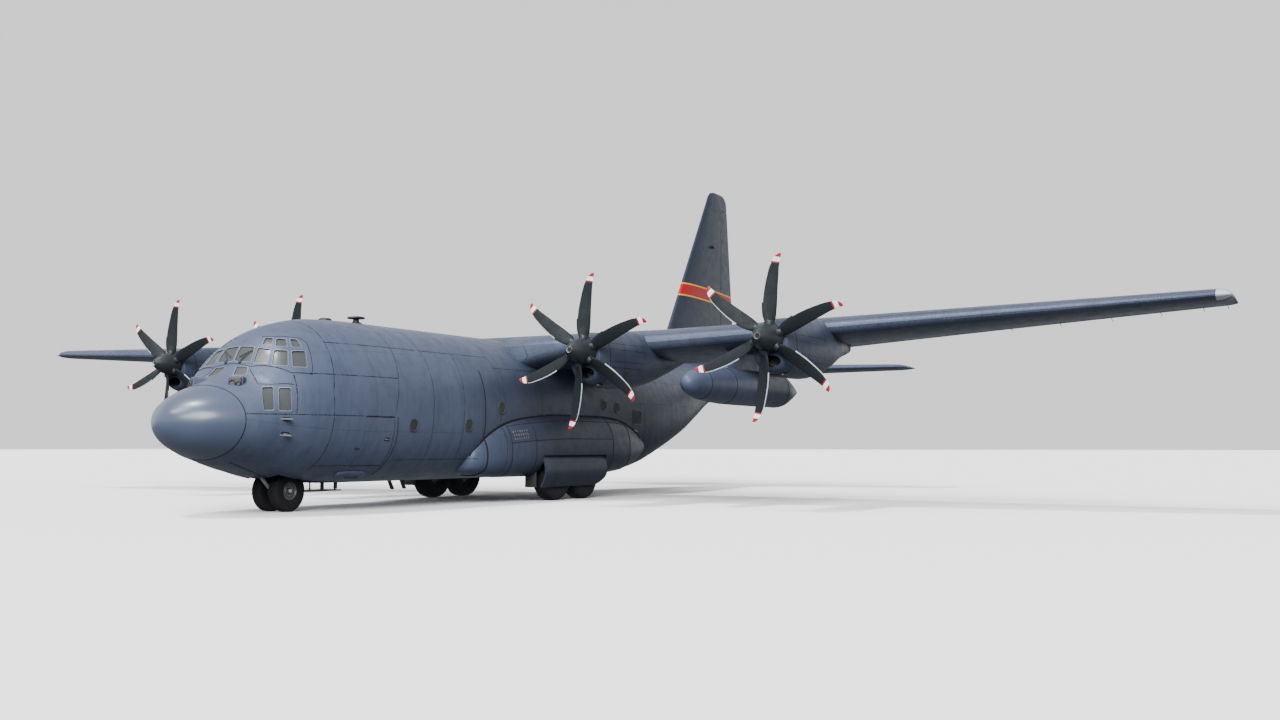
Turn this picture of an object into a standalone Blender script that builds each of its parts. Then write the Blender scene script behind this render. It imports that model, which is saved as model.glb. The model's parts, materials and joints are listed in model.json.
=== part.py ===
"""Military transport plane, a 1:2 scale model on its landing gear.

Four propellers, a high wing, a hollow hull with flight deck and cargo bay, a rear ramp.
All sizes below are the full-size aeroplane's, in metres. The root empty scales the whole
model by SCALE. Stations are measured aft from the nose tip; the nose points along -Y,
the port side along +X, and the tyres stand on Z = 0.
"""
import math

import bmesh
import bpy
from mathutils import Matrix, Vector

SCALE = 0.5
GAP = 0.0003 / SCALE            # between solids that touch
PLAY = 0.014                    # between solids that move past each other
BEARING = 0.0014                # radial play of a shaft in its bore

LENGTH = 29.79
SPAN = 40.41
FIN_TOP = 11.84
TAIL_SPAN = 16.05

# Hull: station, half width, top, bottom, height of the widest point, power of the lower half
HULL = [
    (0.00, 0.10, 2.17, 2.02, 2.10, 2.0),
    (0.04, 0.25, 2.29, 1.91, 2.10, 2.0),
    (0.16, 0.51, 2.44, 1.73, 2.10, 2.0),
    (0.40, 0.87, 2.63, 1.53, 2.11, 2.0),
    (0.80, 1.22, 2.83, 1.34, 2.12, 2.0),
    (1.20, 1.46, 2.98, 1.20, 2.14, 2.0),
    (1.60, 1.63, 3.14, 1.08, 2.18, 2.0),
    (1.84, 1.72, 3.32, 1.01, 2.22, 2.0),
    (2.12, 1.82, 3.82, 0.94, 2.28, 2.0),
    (2.50, 1.95, 4.18, 0.85, 2.35, 2.1),
    (3.20, 2.07, 4.49, 0.73, 2.44, 2.3),
    (4.20, 2.14, 4.68, 0.66, 2.52, 2.6),
    (5.40, 2.16, 4.72, 0.65, 2.56, 2.8),
    (17.30, 2.16, 4.72, 0.65, 2.56, 2.8),
    (18.20, 2.15, 4.72, 0.78, 2.58, 3.0),
    (19.80, 2.06, 4.73, 1.28, 2.72, 3.2),
    (21.40, 1.86, 4.74, 1.80, 2.95, 3.2),
    (23.20, 1.48, 4.76, 2.40, 3.30, 3.0),
    (24.90, 1.08, 4.79, 2.98, 3.70, 3.0),
    (26.50, 0.78, 4.80, 3.40, 3.95, 2.6),
    (28.00, 0.52, 4.74, 3.72, 4.10, 2.3),
    (29.20, 0.30, 4.62, 3.94, 4.22, 2.0),
    (29.79, 0.10, 4.42, 4.14, 4.28, 2.0),
]
HULL_SIDES = 32
WALL = 0.10
AFT_WALL = 0.07
RADOME_END = 1.05
COCKPIT_END = 5.40
CENTRE_END = 18.20
TAIL_CONE_START = 24.90
TAIL_HOLLOW = (24.98, 28.60)    # the tail cone is hollow between these stations
SKIN = 0.03                     # thickness of the hollow fin's and tailplane's skins

CARGO_FLOOR = 1.04
FLOOR_THICK = 0.10
DECK_FLOOR = 2.05
DECK_END = 4.05

# Wing: span station, leading edge station, chord, thickness, incidence, chord height
ROOT_CHORD = 4.88
WING_BREAK = 5.588
WING = [
    (0.0, 11.62, ROOT_CHORD, 0.878, 3.0, 4.35),
    (WING_BREAK, 11.62, ROOT_CHORD, 0.878, 3.0, 4.35),
    (19.90, 12.18, 2.63, 0.316, 0.3, 4.98),
    (20.10, 12.24, 2.50, 0.225, 0.0, 4.99),
    (SPAN / 2, 12.40, 2.10, 0.063, 0.0, 5.00),
]
CAMBER = 0.02
FOIL_POINTS = 9                 # along each surface
FLAP_FRONT = 0.78               # share of the chord ahead of a flap
AILERON_HINGE = 0.76            # share of the chord at an aileron's hinge
FLAPS = [("inner", 2.32, 5.50), ("outer", 5.72, 13.05)]
FLAP_DROP = 0.50                # the flaps' pivots lie this far below the chord line
AILERON = (13.20, 19.70)
HINGE_PIN_R = 0.03
SURFACE_END = 0.04              # end play of a surface whose hinge is swept
NOSE_PLAY = 0.020               # play round a control surface's nose

ENGINE_X = (5.05, 10.28)
HUB_Z = (4.02, 4.16)
PROP_STATION = 9.02
PROP_RADIUS = 2.0575
BLADES = 6
FIRST_BLADE = 79.7              # degrees from +X, seen from the nose
# Spinner: distance aft of the propeller plane, radius
SPINNER = [(-0.60, 0.0), (-0.585, 0.07), (-0.50, 0.19), (-0.36, 0.285), (-0.18, 0.355),
           (0.0, 0.39), (0.18, 0.40), (0.18, 0.0)]
# Blade: radius, chord, thickness, pitch, place of the mid chord against the rotation
BLADE = [
    (0.26, 0.20, 0.150, 40.0, 0.00),
    (0.45, 0.32, 0.095, 34.0, -0.02),
    (0.80, 0.37, 0.055, 25.0, -0.07),
    (1.25, 0.33, 0.035, 17.0, -0.105),
    (1.65, 0.26, 0.024, 12.0, -0.11),
    (1.92, 0.17, 0.016, 9.0, -0.07),
    (PROP_RADIUS, 0.05, 0.008, 8.0, 0.00),
]
# Blade section: along the chord, towards the front face, as shares of chord and thickness
BLADE_SECTION = [(-0.5, 0.0), (-0.22, 0.46), (0.22, 0.36), (0.5, 0.0), (0.22, -0.32), (-0.22, -0.36)]
# Nacelle: station, half width, top and bottom above the hub line
NACELLE = [
    (9.24, 0.46, 0.43, -0.78),
    (9.50, 0.52, 0.49, -0.86),
    (10.10, 0.58, 0.57, -0.92),
    (11.00, 0.61, 0.66, -0.91),
    (11.90, 0.60, 0.70, -0.80),
    (13.20, 0.50, 0.50, -0.48),
    (14.40, 0.34, 0.30, -0.12),
]
NACELLE_SIDES = 16
NACELLE_WALL = 0.06
MOUTH = (0.27, -0.70, -0.42)    # half width, low and high above the hub line

# Sponson: station, outer reach, top, bottom
SPONSON = [
    (8.62, 1.62, 1.42, 1.05),
    (8.75, 1.98, 1.72, 0.86),
    (9.10, 2.24, 1.98, 0.78),
    (9.90, 2.46, 2.22, 0.70),
    (11.00, 2.60, 2.44, 0.70),
    (12.40, 2.64, 2.52, 0.70),
    (14.60, 2.64, 2.52, 0.70),
    (15.90, 2.54, 2.46, 0.76),
    (16.90, 2.34, 2.26, 0.94),
    (17.70, 2.12, 1.90, 1.26),
]
SPONSON_INNER = 0.95
SPONSON_SIDES = 24

NOSE_GEAR = 3.45
NOSE_TYRE_R = 0.495
NOSE_TYRE_W = 0.33
NOSE_TYRE_X = 0.29
NOSE_BAY = (0.74, 2.70, 4.55, 1.75)      # half width, front, rear, ceiling
BAY_WALL = 0.04
MAIN_GEAR = 12.84
MAIN_PITCH = 1.52
MAIN_TYRE_R = 0.71
MAIN_TYRE_W = 0.50
MAIN_X = 2.175
WELL_X = (1.62, 2.50)
WELL = (11.05, 14.45)
WELL_TOP = 1.72
DOOR_TOP = 1.30
AXLE_R = 0.0736
TYRE_STEPS = 24

TANK_X = 7.70
TANK_Z = 3.18
TANK_MIDDLE = 13.50
# Drop tank: distance from its middle, radius
TANK = [(-3.75, 0.0), (-3.71, 0.12), (-3.55, 0.24), (-3.15, 0.36), (-2.40, 0.455),
        (-1.10, 0.50), (2.00, 0.50), (2.30, 0.46), (3.68, 0.04), (3.75, 0.0)]
# Pylon outline: station, half width
PYLON = [(12.2, 0.0), (12.6, 0.09), (14.4, 0.09), (15.1, 0.0), (14.4, -0.09), (12.6, -0.09)]

# Nose gear rear door, which hangs level below the belly: front, rear, half width, height
NOSE_DOOR = (4.11, 5.31, 0.30, 0.45)

# Fin: height, leading edge station, trailing edge station, thickness
FIN = [
    (4.40, 22.55, 29.25, 0.62),
    (5.10, 22.95, 29.25, 0.60),
    (6.00, 23.45, 29.22, 0.55),
    (11.30, 26.72, 28.62, 0.22),
    (11.66, 26.98, 28.45, 0.15),
    (FIN_TOP, 27.35, 28.15, 0.05),
]
RUDDER_HINGE = ((5.20, 27.66), (11.20, 28.02))   # height, station
RUDDER_RIBS = (5.20, 6.00, 7.40, 9.20, 11.20)    # heights where its nose is measured
FIN_HOLLOW = (5.35, 6.00, 11.05)
# Tailplane: span station, leading edge, trailing edge, thickness
TAILPLANE = [
    (0.0, 25.25, 29.25, 0.48),
    (7.60, 26.75, 28.72, 0.22),
    (7.90, 26.95, 28.60, 0.15),
    (TAIL_SPAN / 2, 27.25, 28.35, 0.05),
]
TAIL_Z = 4.50
ELEVATOR = (0.95, 7.50)
ELEVATOR_RIBS = (0.95, 2.40, 4.20, 6.00, 7.50)   # span stations where its nose is measured
TAILPLANE_HOLLOW = (1.10, 7.35)
ELEVATOR_HINGE = 28.10

CREW_DOOR = (4.10, 5.12, 1.08, 2.26)             # front, rear, low, high
PARA_DOOR = (16.85, 17.75, 1.06, 2.92)
RAMP_REAR = 21.40
RAMP_LEAN = 0.20                # the parting face runs aft by this from top to belly
RAMP_HALF = 1.40
CARGO_DOOR_HALF = 0.70          # at its rear end
RAMP_THICK = 0.22
HEADROOM = 0.5                  # the hull's wall is open this far above the ramp

# Flight deck windows on the port side: four corners each, as x, station, height
WINDOWS = [
    ("front", (0.03, 2.16, 3.87), (0.42, 2.17, 3.84), (0.50, 1.97, 3.50), (0.03, 1.96, 3.52)),
    ("side_front", (0.55, 2.18, 3.82), (0.87, 2.25, 3.77), (1.00, 2.03, 3.42), (0.63, 1.97, 3.46)),
    ("side_middle", (0.96, 2.27, 3.76), (1.21, 2.44, 3.75), (1.42, 2.24, 3.38), (1.12, 2.05, 3.39)),
    ("side_rear", (1.27, 2.50, 3.74), (1.43, 2.77, 3.75), (1.67, 2.59, 3.36), (1.49, 2.31, 3.36)),
    ("upper_front", (0.51, 2.43, 4.07), (0.69, 2.50, 4.06), (0.83, 2.32, 3.87), (0.60, 2.26, 3.89)),
    ("upper_middle", (0.77, 2.52, 4.05), (0.94, 2.65, 4.04), (1.13, 2.50, 3.84), (0.92, 2.35, 3.85)),
    ("upper_rear", (1.00, 2.71, 4.04), (1.11, 2.83, 4.04), (1.33, 2.77, 3.84), (1.20, 2.58, 3.84)),
    ("chin", (0.17, 1.89, 3.38), (0.51, 1.91, 3.37), (0.62, 1.75, 3.17), (0.28, 1.69, 3.18)),
    ("low_front", (1.20, 1.68, 2.88), (1.37, 1.85, 2.89), (1.62, 1.63, 2.36), (1.53, 1.43, 2.35)),
    ("low_rear", (1.47, 1.91, 2.87), (1.66, 2.09, 2.87), (1.78, 2.01, 2.35), (1.67, 1.74, 2.35)),
]
PILOT_EYE = (0.0, 3.30, 3.10)
# Finish: name, colour, roughness, metallic
FINISH = {
    "paint": ((0.17, 0.20, 0.27), 0.45, 0.0),
    "dark": ((0.05, 0.055, 0.06), 0.5, 0.0),
    "tyre": ((0.02, 0.02, 0.02), 0.85, 0.0),
    "steel": ((0.45, 0.46, 0.48), 0.4, 0.6),
    "glass": ((0.16, 0.16, 0.17), 0.2, 0.0),
    "floor": ((0.12, 0.13, 0.13), 0.7, 0.0),
}


def at(x, station, z):
    """A point of the aeroplane from its span, station and height."""
    return Vector((x, station - LENGTH / 2, z))


def blend(low, high, share):
    return low + (high - low) * share


def table_row(table, key):
    """The row of a table at a key between its rows, by straight lines."""
    if key <= table[0][0]:
        return table[0]
    for low, high in zip(table, table[1:]):
        if key <= high[0]:
            share = (key - low[0]) / (high[0] - low[0])
            return tuple(blend(a, b, share) for a, b in zip(low, high))
    return table[-1]


def clear_scene():
    for item in list(bpy.data.objects):
        bpy.data.objects.remove(item, do_unlink=True)


def make_collection(name):
    group = bpy.data.collections.new(name)
    bpy.context.scene.collection.children.link(group)
    return group


clear_scene()
parts = make_collection("military_transport_plane")
cutters = make_collection("cutters")
root = bpy.data.objects.new("half_scale", None)
root.scale = (SCALE, SCALE, SCALE)
parts.objects.link(root)


def finish_material(name, finish):
    colour, roughness, metallic = FINISH[finish]
    material = bpy.data.materials.new(name)
    material.use_nodes = True
    shader = material.node_tree.nodes["Principled BSDF"]
    shader.inputs["Base Color"].default_value = (*colour, 1.0)
    shader.inputs["Roughness"].default_value = roughness
    shader.inputs["Metallic"].default_value = metallic
    return material


def place(name, mesh, finish, location=(0.0, 0.0, 0.0)):
    """Add a named piece whose mesh is drawn about its own location."""
    item = bpy.data.objects.new(name, mesh)
    parts.objects.link(item)
    item.parent = root
    item.location = location
    mesh.materials.clear()
    mesh.materials.append(finish_material(name, finish))
    mesh.shade_smooth()
    mesh.set_sharp_from_angle(angle=math.radians(35))
    return item


def hide(mesh, name, location=(0.0, 0.0, 0.0)):
    """Add a cutter or a shape that is joined to a piece."""
    item = bpy.data.objects.new(name, mesh)
    cutters.objects.link(item)
    item.parent = root
    item.location = location
    item.hide_render = True
    item.display_type = "WIRE"
    return item


def boolean(item, tool, operation):
    change = item.modifiers.new(operation.title(), "BOOLEAN")
    change.operation = operation
    change.solver = "EXACT"
    change.object = tool


def cut(item, *tools):
    for tool in tools:
        boolean(item, tool, "DIFFERENCE")


def join(item, *tools):
    for tool in tools:
        boolean(item, tool, "UNION")


def keep_inside(item, tool):
    boolean(item, tool, "INTERSECT")


def to_mesh(work, name):
    bmesh.ops.recalc_face_normals(work, faces=work.faces[:])
    mesh = bpy.data.meshes.new(name)
    work.to_mesh(mesh)
    work.free()
    return mesh


def box_mesh(name, low, high):
    """A box between two corners given as span, station, height."""
    first, last = at(*low), at(*high)
    work = bmesh.new()
    bmesh.ops.create_cube(work, size=1.0)
    bmesh.ops.scale(work, vec=last - first, verts=work.verts[:])
    bmesh.ops.translate(work, vec=(first + last) / 2, verts=work.verts[:])
    return to_mesh(work, name)


def rod_mesh(name, start, end, radius, sides=12, end_radius=None):
    """A round bar between two points given as span, station, height."""
    first, last = at(*start), at(*end)
    run = last - first
    work = bmesh.new()
    bmesh.ops.create_cone(work, cap_ends=True, segments=sides, radius1=radius,
                          radius2=radius if end_radius is None else end_radius,
                          depth=run.length)
    turn = Vector((0, 0, 1)).rotation_difference(run).to_matrix().to_4x4()
    spot = Matrix.Translation((first + last) / 2) @ turn
    bmesh.ops.transform(work, matrix=spot, verts=work.verts[:])
    return to_mesh(work, name)


def skin_cell(work, a, b, c, d):
    """Two triangles, always split the same way, so that nested skins stay apart."""
    work.faces.new((a, b, c))
    work.faces.new((a, c, d))


def loft_mesh(name, rings, capped=True):
    """Skin a row of rings that have the same number of points."""
    work = bmesh.new()
    loops = [[work.verts.new(point) for point in ring] for ring in rings]
    count = len(loops[0])
    for low, high in zip(loops, loops[1:]):
        for i in range(count):
            j = (i + 1) % count
            skin_cell(work, low[i], low[j], high[j], high[i])
    if capped:
        work.faces.new(loops[0][::-1])
        work.faces.new(loops[-1])
    return to_mesh(work, name)


def oval(sides, half_width, top, bottom, middle, upper=2.0, lower=2.0):
    """Points round an oval whose upper and lower halves differ, as (across, up)."""
    points = []
    for i in range(sides):
        angle = 2 * math.pi * (i + 0.5) / sides
        across, up = math.cos(angle), math.sin(angle)
        power = 2.0 / (upper if up > 0 else lower)
        reach = (top - middle) if up > 0 else (middle - bottom)
        points.append((math.copysign(abs(across) ** power, across) * half_width,
                       middle + math.copysign(abs(up) ** power, up) * reach))
    return points


def hull_ring(station, grow=0.0):
    _, half, top, bottom, middle, lower = table_row(HULL, station)
    outline = oval(HULL_SIDES, half + grow, top + grow, bottom - grow, middle, 2.0, lower)
    return [at(x, station, z) for x, z in outline]


def hull_stations(start, end):
    between = [row[0] for row in HULL if start < row[0] < end]
    return [start] + between + [end]


def hull_solid(name, start, end, grow=0.0):
    rings = [hull_ring(station, grow) for station in hull_stations(start, end)]
    return loft_mesh(name, rings)


def hull_tube(name, start, end, outer=0.0, inner=-WALL):
    """A stretch of the hull's wall, open at both ends."""
    stations = hull_stations(start, end)
    work = bmesh.new()
    skins = []
    for grow in (outer, inner):
        skins.append([[work.verts.new(point) for point in hull_ring(s, grow)] for s in stations])
    count = HULL_SIDES
    for loops in skins:
        for low, high in zip(loops, loops[1:]):
            for i in range(count):
                j = (i + 1) % count
                skin_cell(work, low[i], low[j], high[j], high[i])
    for end_index in (0, -1):
        outside, inside = skins[0][end_index], skins[1][end_index]
        for i in range(count):
            j = (i + 1) % count
            work.faces.new((outside[i], outside[j], inside[j], inside[i]))
    return to_mesh(work, name)


def foil_half(aft, thickness):
    """Half thickness of an aerofoil of unit chord at a share of the chord."""
    return 5 * thickness * (0.2969 * math.sqrt(aft) - 0.1260 * aft - 0.3516 * aft ** 2
                            + 0.2843 * aft ** 3 - 0.1010 * aft ** 4)


def foil(chord, thickness, camber=CAMBER):
    """Points round an aerofoil as (aft, up): trailing edge, over the top, round, back below."""
    upper, lower = [], []
    for i in range(FOIL_POINTS + 1):
        aft = 0.5 * (1 + math.cos(math.pi * i / FOIL_POINTS))
        half = foil_half(aft, thickness)
        bow = camber * 4 * aft * (1 - aft)
        upper.append((aft * chord, (bow + half) * chord))
        lower.append((aft * chord, (bow - half) * chord))
    return upper + lower[::-1][1:]


def wing_ring(span, side, grow=0.0):
    _, front, chord, thick, incidence, height = table_row(WING, span)
    tilt = math.radians(incidence)
    ring = []
    for aft, up in foil(chord + 2 * grow, (thick + 2 * grow) / (chord + 2 * grow)):
        aft -= grow
        ring.append(at(side * span,
                       front + aft * math.cos(tilt) + up * math.sin(tilt),
                       height - (aft - chord / 4) * math.sin(tilt) + up * math.cos(tilt)))
    return ring


def wing_line(side, span, share, rise=0.0):
    """A point on the chord line, or above it."""
    _, front, chord, _, incidence, height = table_row(WING, span)
    tilt = math.radians(incidence)
    aft = share * chord
    return at(side * span, front + aft * math.cos(tilt),
              height - (aft - chord / 4) * math.sin(tilt) + rise)


def wing_solid(name, start, end, side, grow=0.0):
    spans = [start] + [row[0] for row in WING if start < row[0] < end] + [end]
    return loft_mesh(name, [wing_ring(span, side, grow) for span in spans])


def hidden_box(name, low, high):
    return hide(box_mesh(name, low, high), name)


def hidden_loft(name, rings):
    return hide(loft_mesh(name, rings), name)


AFT = Vector((0, 1, 0))
UP = Vector((0, 0, 1))
ACROSS = Vector((1, 0, 0))
NOSE_STEPS = 6
NOSE_SHARE = 0.97               # a surface's round nose against its half thickness
NOSE_LAP = 0.15                 # the surface's skin starts this share of the radius aft


def flat_pocket(name, ends, forward=0.0):
    """A tall block behind a straight line, which the pieces on either side share."""
    rings = []
    for point in ends:
        front = point - AFT * forward
        rings.append([front - UP, front - UP + AFT * 3, front + UP + AFT * 3, front + UP])
    return hidden_loft(name, rings)


def round_pocket(name, ends, grow, up):
    """A round nose about a hinge line, with a tall block behind it."""
    rings = []
    for hinge, radius in ends:
        reach = radius + grow
        lap = 0.0 if grow else math.asin(NOSE_LAP)
        skin = hinge + AFT * (reach * math.sin(lap))
        ring = [hinge + AFT * 4 - up * 2, hinge + AFT * 4 + up * 2, skin + up * 2]
        for step in range(NOSE_STEPS + 1):
            angle = blend(-lap, math.pi + lap, step / NOSE_STEPS)
            ring.append(hinge + up * (reach * math.cos(angle)) - AFT * (reach * math.sin(angle)))
        ring.append(skin - up * 2)
        rings.append(ring)
    return hidden_loft(name, rings)


def hinge_pin(name, ends, up):
    """A pin along a hinge line, with pointed ends that reach the ribs."""
    first, last = ends[0][0], ends[-1][0]
    run = (last - first).normalized()
    rings = []
    for centre, radius in ((first + run * GAP * 1.1, 0.008), (first + run * 0.06, HINGE_PIN_R),
                           (last - run * 0.06, HINGE_PIN_R), (last - run * GAP * 1.1, 0.008)):
        rings.append([centre + AFT * (radius * math.cos(a)) + up * (radius * math.sin(a))
                      for a in (math.pi * i / 4 for i in range(8))])
    return hidden_loft(name, rings)


def profile_mesh(name, points, closed=False):
    """A chain of edges for a turned shape."""
    work = bmesh.new()
    chain = [work.verts.new(point) for point in points]
    for low, high in zip(chain, chain[1:]):
        work.edges.new((low, high))
    if closed:
        work.edges.new((chain[-1], chain[0]))
    mesh = bpy.data.meshes.new(name)
    work.to_mesh(mesh)
    work.free()
    return mesh


def turn(item, axis, steps):
    change = item.modifiers.new("Turn", "SCREW")
    change.axis = axis
    change.steps = steps
    change.render_steps = steps
    change.use_merge_vertices = True
    change.merge_threshold = 0.0001


# Whole outlines that trim what touches them
hull_guard = hide(hull_solid("hull_guard", HULL[0][0], HULL[-1][0], GAP), "hull_guard")
hull_shape = hide(hull_solid("hull_shape", HULL[0][0], HULL[-1][0]), "hull_shape")
hull_space = hide(hull_solid("hull_space", HULL[1][0], HULL[-2][0], -WALL - GAP), "hull_space")
wing_guard = {side: hidden_loft(f"wing_guard_{side}", [
    wing_ring(row[0], side, GAP) for row in WING[:3]]) for side in (1, -1)}


def make_hull():
    sections = [("radome", hull_solid("radome", 0.0, RADOME_END - GAP)),
                ("cockpit_section", hull_tube("cockpit_section", RADOME_END, COCKPIT_END - GAP)),
                ("centre_fuselage", hull_tube("centre_fuselage", COCKPIT_END, CENTRE_END - GAP)),
                ("aft_fuselage", hull_tube(
                    "aft_fuselage", CENTRE_END, TAIL_CONE_START - GAP, inner=-AFT_WALL)),
                ("tail_cone", hull_solid("tail_cone", TAIL_CONE_START, LENGTH))]
    hull = {name: place(name, mesh, "paint") for name, mesh in sections}
    half, front, rear, _ = NOSE_BAY
    cut(hull["cockpit_section"], *window_cutters(),
        hidden_box("bay_way", (-half, front, 0.0), (half, rear, 1.3)))
    cut(hull["centre_fuselage"], wing_guard[1], wing_guard[-1])
    start, end = TAIL_HOLLOW
    cut(hull["tail_cone"], hide(hull_solid("tail_hollow", start, end, -WALL), "tail_hollow"))
    return hull


def window_cutters():
    """Each window is cut along the sight lines from the pilots' eyes."""
    eye = at(*PILOT_EYE)
    tools = []
    for name, *corners in WINDOWS:
        for side in (1, -1):
            ring = [at(side * x, s, z) for x, s, z in corners]
            rings = [[eye + (point - eye) * reach for point in ring] for reach in (0.72, 1.22)]
            tools.append(hidden_loft(f"window_{name}_{side}", rings))
    return tools


def make_glazing():
    """The panes as one visor that lies against the inside of the wall."""
    visor = place("cockpit_glazing",
                  hull_tube("cockpit_glazing", RADOME_END, 4.20, -WALL - GAP, -WALL - 0.03),
                  "glass")
    keep_inside(visor, hidden_box("visor_limit", (-3, 1.22, 2.22), (3, 3.10, 4.18)))


def make_decks():
    half, front, rear, ceiling = NOSE_BAY
    floor = place("cargo_floor", box_mesh(
        "cargo_floor", (-3, rear + BAY_WALL + GAP, CARGO_FLOOR - FLOOR_THICK),
        (3, CENTRE_END - GAP, CARGO_FLOOR)), "floor")
    keep_inside(floor, hull_space)
    deck = place("flight_deck", box_mesh(
        "flight_deck", (-3, RADOME_END + 0.06, DECK_FLOOR - 0.06), (3, DECK_END, DECK_FLOOR)),
        "floor")
    below = DECK_FLOOR - 0.03
    fittings = [("bulkhead", (-3, DECK_END - 0.06, 0.4), (3, DECK_END, 3.95)),
                ("panel", (-1.10, 2.14, 2.30), (1.10, 2.40, 3.08)),
                ("panel_foot", (-0.9, 2.20, below), (0.9, 2.32, 2.35)),
                ("console", (-0.22, 2.25, below), (0.22, 3.20, 2.60))]
    for side in (-1, 1):
        x = side * 0.66
        fittings += [("seat_base", (x - 0.22, 2.95, below), (x + 0.22, 3.40, 2.48)),
                     ("seat_pan", (x - 0.27, 2.86, 2.44), (x + 0.27, 3.46, 2.58)),
                     ("seat_back", (x - 0.27, 3.36, 2.50), (x + 0.27, 3.50, 3.42)),
                     ("equipment_rack", (side * 1.10 - 0.24, 2.80, 1.20),
                      (side * 1.10 + 0.24, 3.92, below))]
    join(deck, *[hidden_box(*fitting) for fitting in fittings])
    cut(deck, hidden_box("deck_doorway", (0.35, DECK_END - 0.2, DECK_FLOOR),
                         (1.05, DECK_END + 0.2, 3.85)))
    margin = BAY_WALL + GAP
    cut(deck, hidden_box("bay_guard", (-half - margin, front - margin, 0.0),
                         (half + margin, rear + margin, ceiling + margin)))
    keep_inside(deck, hull_space)
    bay = place("nose_gear_bay", box_mesh(
        "nose_gear_bay", (-half - BAY_WALL, front - BAY_WALL, 0.5),
        (half + BAY_WALL, rear + BAY_WALL, ceiling + BAY_WALL)), "paint")
    cut(bay, hidden_box("bay_space", (-half, front, 0.0), (half, rear, ceiling)))
    keep_inside(bay, hull_space)


def make_doors(hull):
    front, rear, low, high = CREW_DOOR
    door = place("crew_door", hull_tube("crew_door", 3.20, COCKPIT_END), "paint")
    keep_inside(door, hidden_box("crew_door_limit", (1.0, front + PLAY, low + GAP),
                                 (3.0, rear - PLAY, high - PLAY)))
    cut(hull["cockpit_section"], hidden_box("crew_doorway", (1.0, front, low), (3.0, rear, high)))
    front, rear, low, high = PARA_DOOR
    cut(hull["centre_fuselage"], hidden_box("para_doorways", (-3, front, low), (3, rear, high)))
    for hand, near, far in (("left", 1.2, 3.0), ("right", -3.0, -1.2)):
        panel = place(f"paratroop_door_{hand}",
                      hull_tube("paratroop_door", COCKPIT_END, CENTRE_END), "paint")
        keep_inside(panel, hidden_box(f"para_limit_{hand}", (near, front + GAP, low + GAP),
                                      (far, rear - GAP, high - GAP)))


def ramp_top(station):
    """Height of the ramp's and the cargo door's inner face."""
    end = table_row(HULL, RAMP_REAR)[3] + RAMP_THICK
    return blend(CARGO_FLOOR, end, (station - CENTRE_END) / (RAMP_REAR - CENTRE_END))


def belly_block(name, stations, grow=0.0, headroom=0.0):
    """A block with upright sides that follow the ramp and then the cargo door."""
    taper = (RAMP_HALF - CARGO_DOOR_HALF) / (TAIL_CONE_START - RAMP_REAR)
    rings = []
    for station in stations:
        half = RAMP_HALF - taper * max(0.0, station - RAMP_REAR) + grow
        top = ramp_top(station) + headroom
        rings.append([at(-half, station, -1.0), at(half, station, -1.0),
                      at(half, station, top), at(-half, station, top)])
    return loft_mesh(name, rings)


def parting_block(name, shift, end):
    """All that lies beyond the leaning face between the ramp and the cargo door."""
    top, slope = ramp_top(RAMP_REAR), RAMP_LEAN / RAMP_THICK
    rings = []
    for x in (-3, 3):
        rings.append([at(x, station, z) for station, z in (
            (RAMP_REAR + shift - slope, top + 1.0), (RAMP_REAR + shift + slope, top - 1.0),
            (end, top - 1.0), (end, top + 1.0))])
    return hidden_loft(name, rings)


def make_ramp(hull):
    """The ramp and the cargo door are cut from the hull's belly."""
    ramp = place("ramp", belly_block("ramp", (CENTRE_END, RAMP_REAR, RAMP_REAR + 0.4)), "paint")
    keep_inside(ramp, hull_shape)
    cut(ramp, parting_block("ramp_end", -PLAY, TAIL_CONE_START))
    door = place("cargo_door", belly_block(
        "cargo_door", (RAMP_REAR - 0.4, RAMP_REAR, TAIL_CONE_START - GAP)), "paint")
    keep_inside(door, hull_shape)
    cut(door, parting_block("cargo_door_front", PLAY, CENTRE_END))
    cut(hull["aft_fuselage"], hide(belly_block(
        "belly_way", (CENTRE_END - 0.5, RAMP_REAR, TAIL_CONE_START + 0.5), PLAY, HEADROOM),
        "belly_way"))


def aileron_ends(side):
    ends = []
    for span in AILERON:
        _, _, chord, thick, _, _ = table_row(WING, span)
        bow = CAMBER * 4 * AILERON_HINGE * (1 - AILERON_HINGE) * chord
        ends.append((wing_line(side, span, AILERON_HINGE, bow),
                     NOSE_SHARE * foil_half(AILERON_HINGE, thick)))
    return ends


def make_wing():
    centre = place("wing_centre", loft_mesh("wing_centre", [
        wing_ring(WING_BREAK - GAP, -1), wing_ring(WING_BREAK - GAP, 1)]), "paint")
    for side, hand in ((1, "left"), (-1, "right")):
        outer = place(f"wing_{hand}", wing_solid("wing", WING_BREAK, SPAN / 2, side), "paint")
        for name, start, end in FLAPS:
            ends = [wing_line(side, span, FLAP_FRONT) for span in (start, end)]
            owner = centre if end < WING_BREAK else outer
            cut(owner, flat_pocket(f"{name}_flap_pocket_{hand}", ends))
            flap = place(f"flap_{name}_{hand}",
                         wing_solid("flap", start + PLAY, end - PLAY, side), "paint")
            keep_inside(flap, flat_pocket(f"{name}_flap_limit_{hand}", ends, -GAP))
        ends = aileron_ends(side)
        cut(outer, round_pocket(f"aileron_pocket_{hand}", ends, NOSE_PLAY, UP))
        start, end = AILERON
        aileron = place(f"aileron_{hand}", wing_solid(
            "aileron", start + SURFACE_END, end - SURFACE_END, side), "paint")
        keep_inside(aileron, round_pocket(f"aileron_limit_{hand}", ends, 0.0, UP))
        join(aileron, hinge_pin(f"aileron_pin_{hand}", ends, UP))


def fin_ring(height):
    _, front, rear, thick = table_row(FIN, height)
    chord = rear - front
    return [at(up, front + aft, height) for aft, up in foil(chord, thick / chord, 0.0)]


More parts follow.
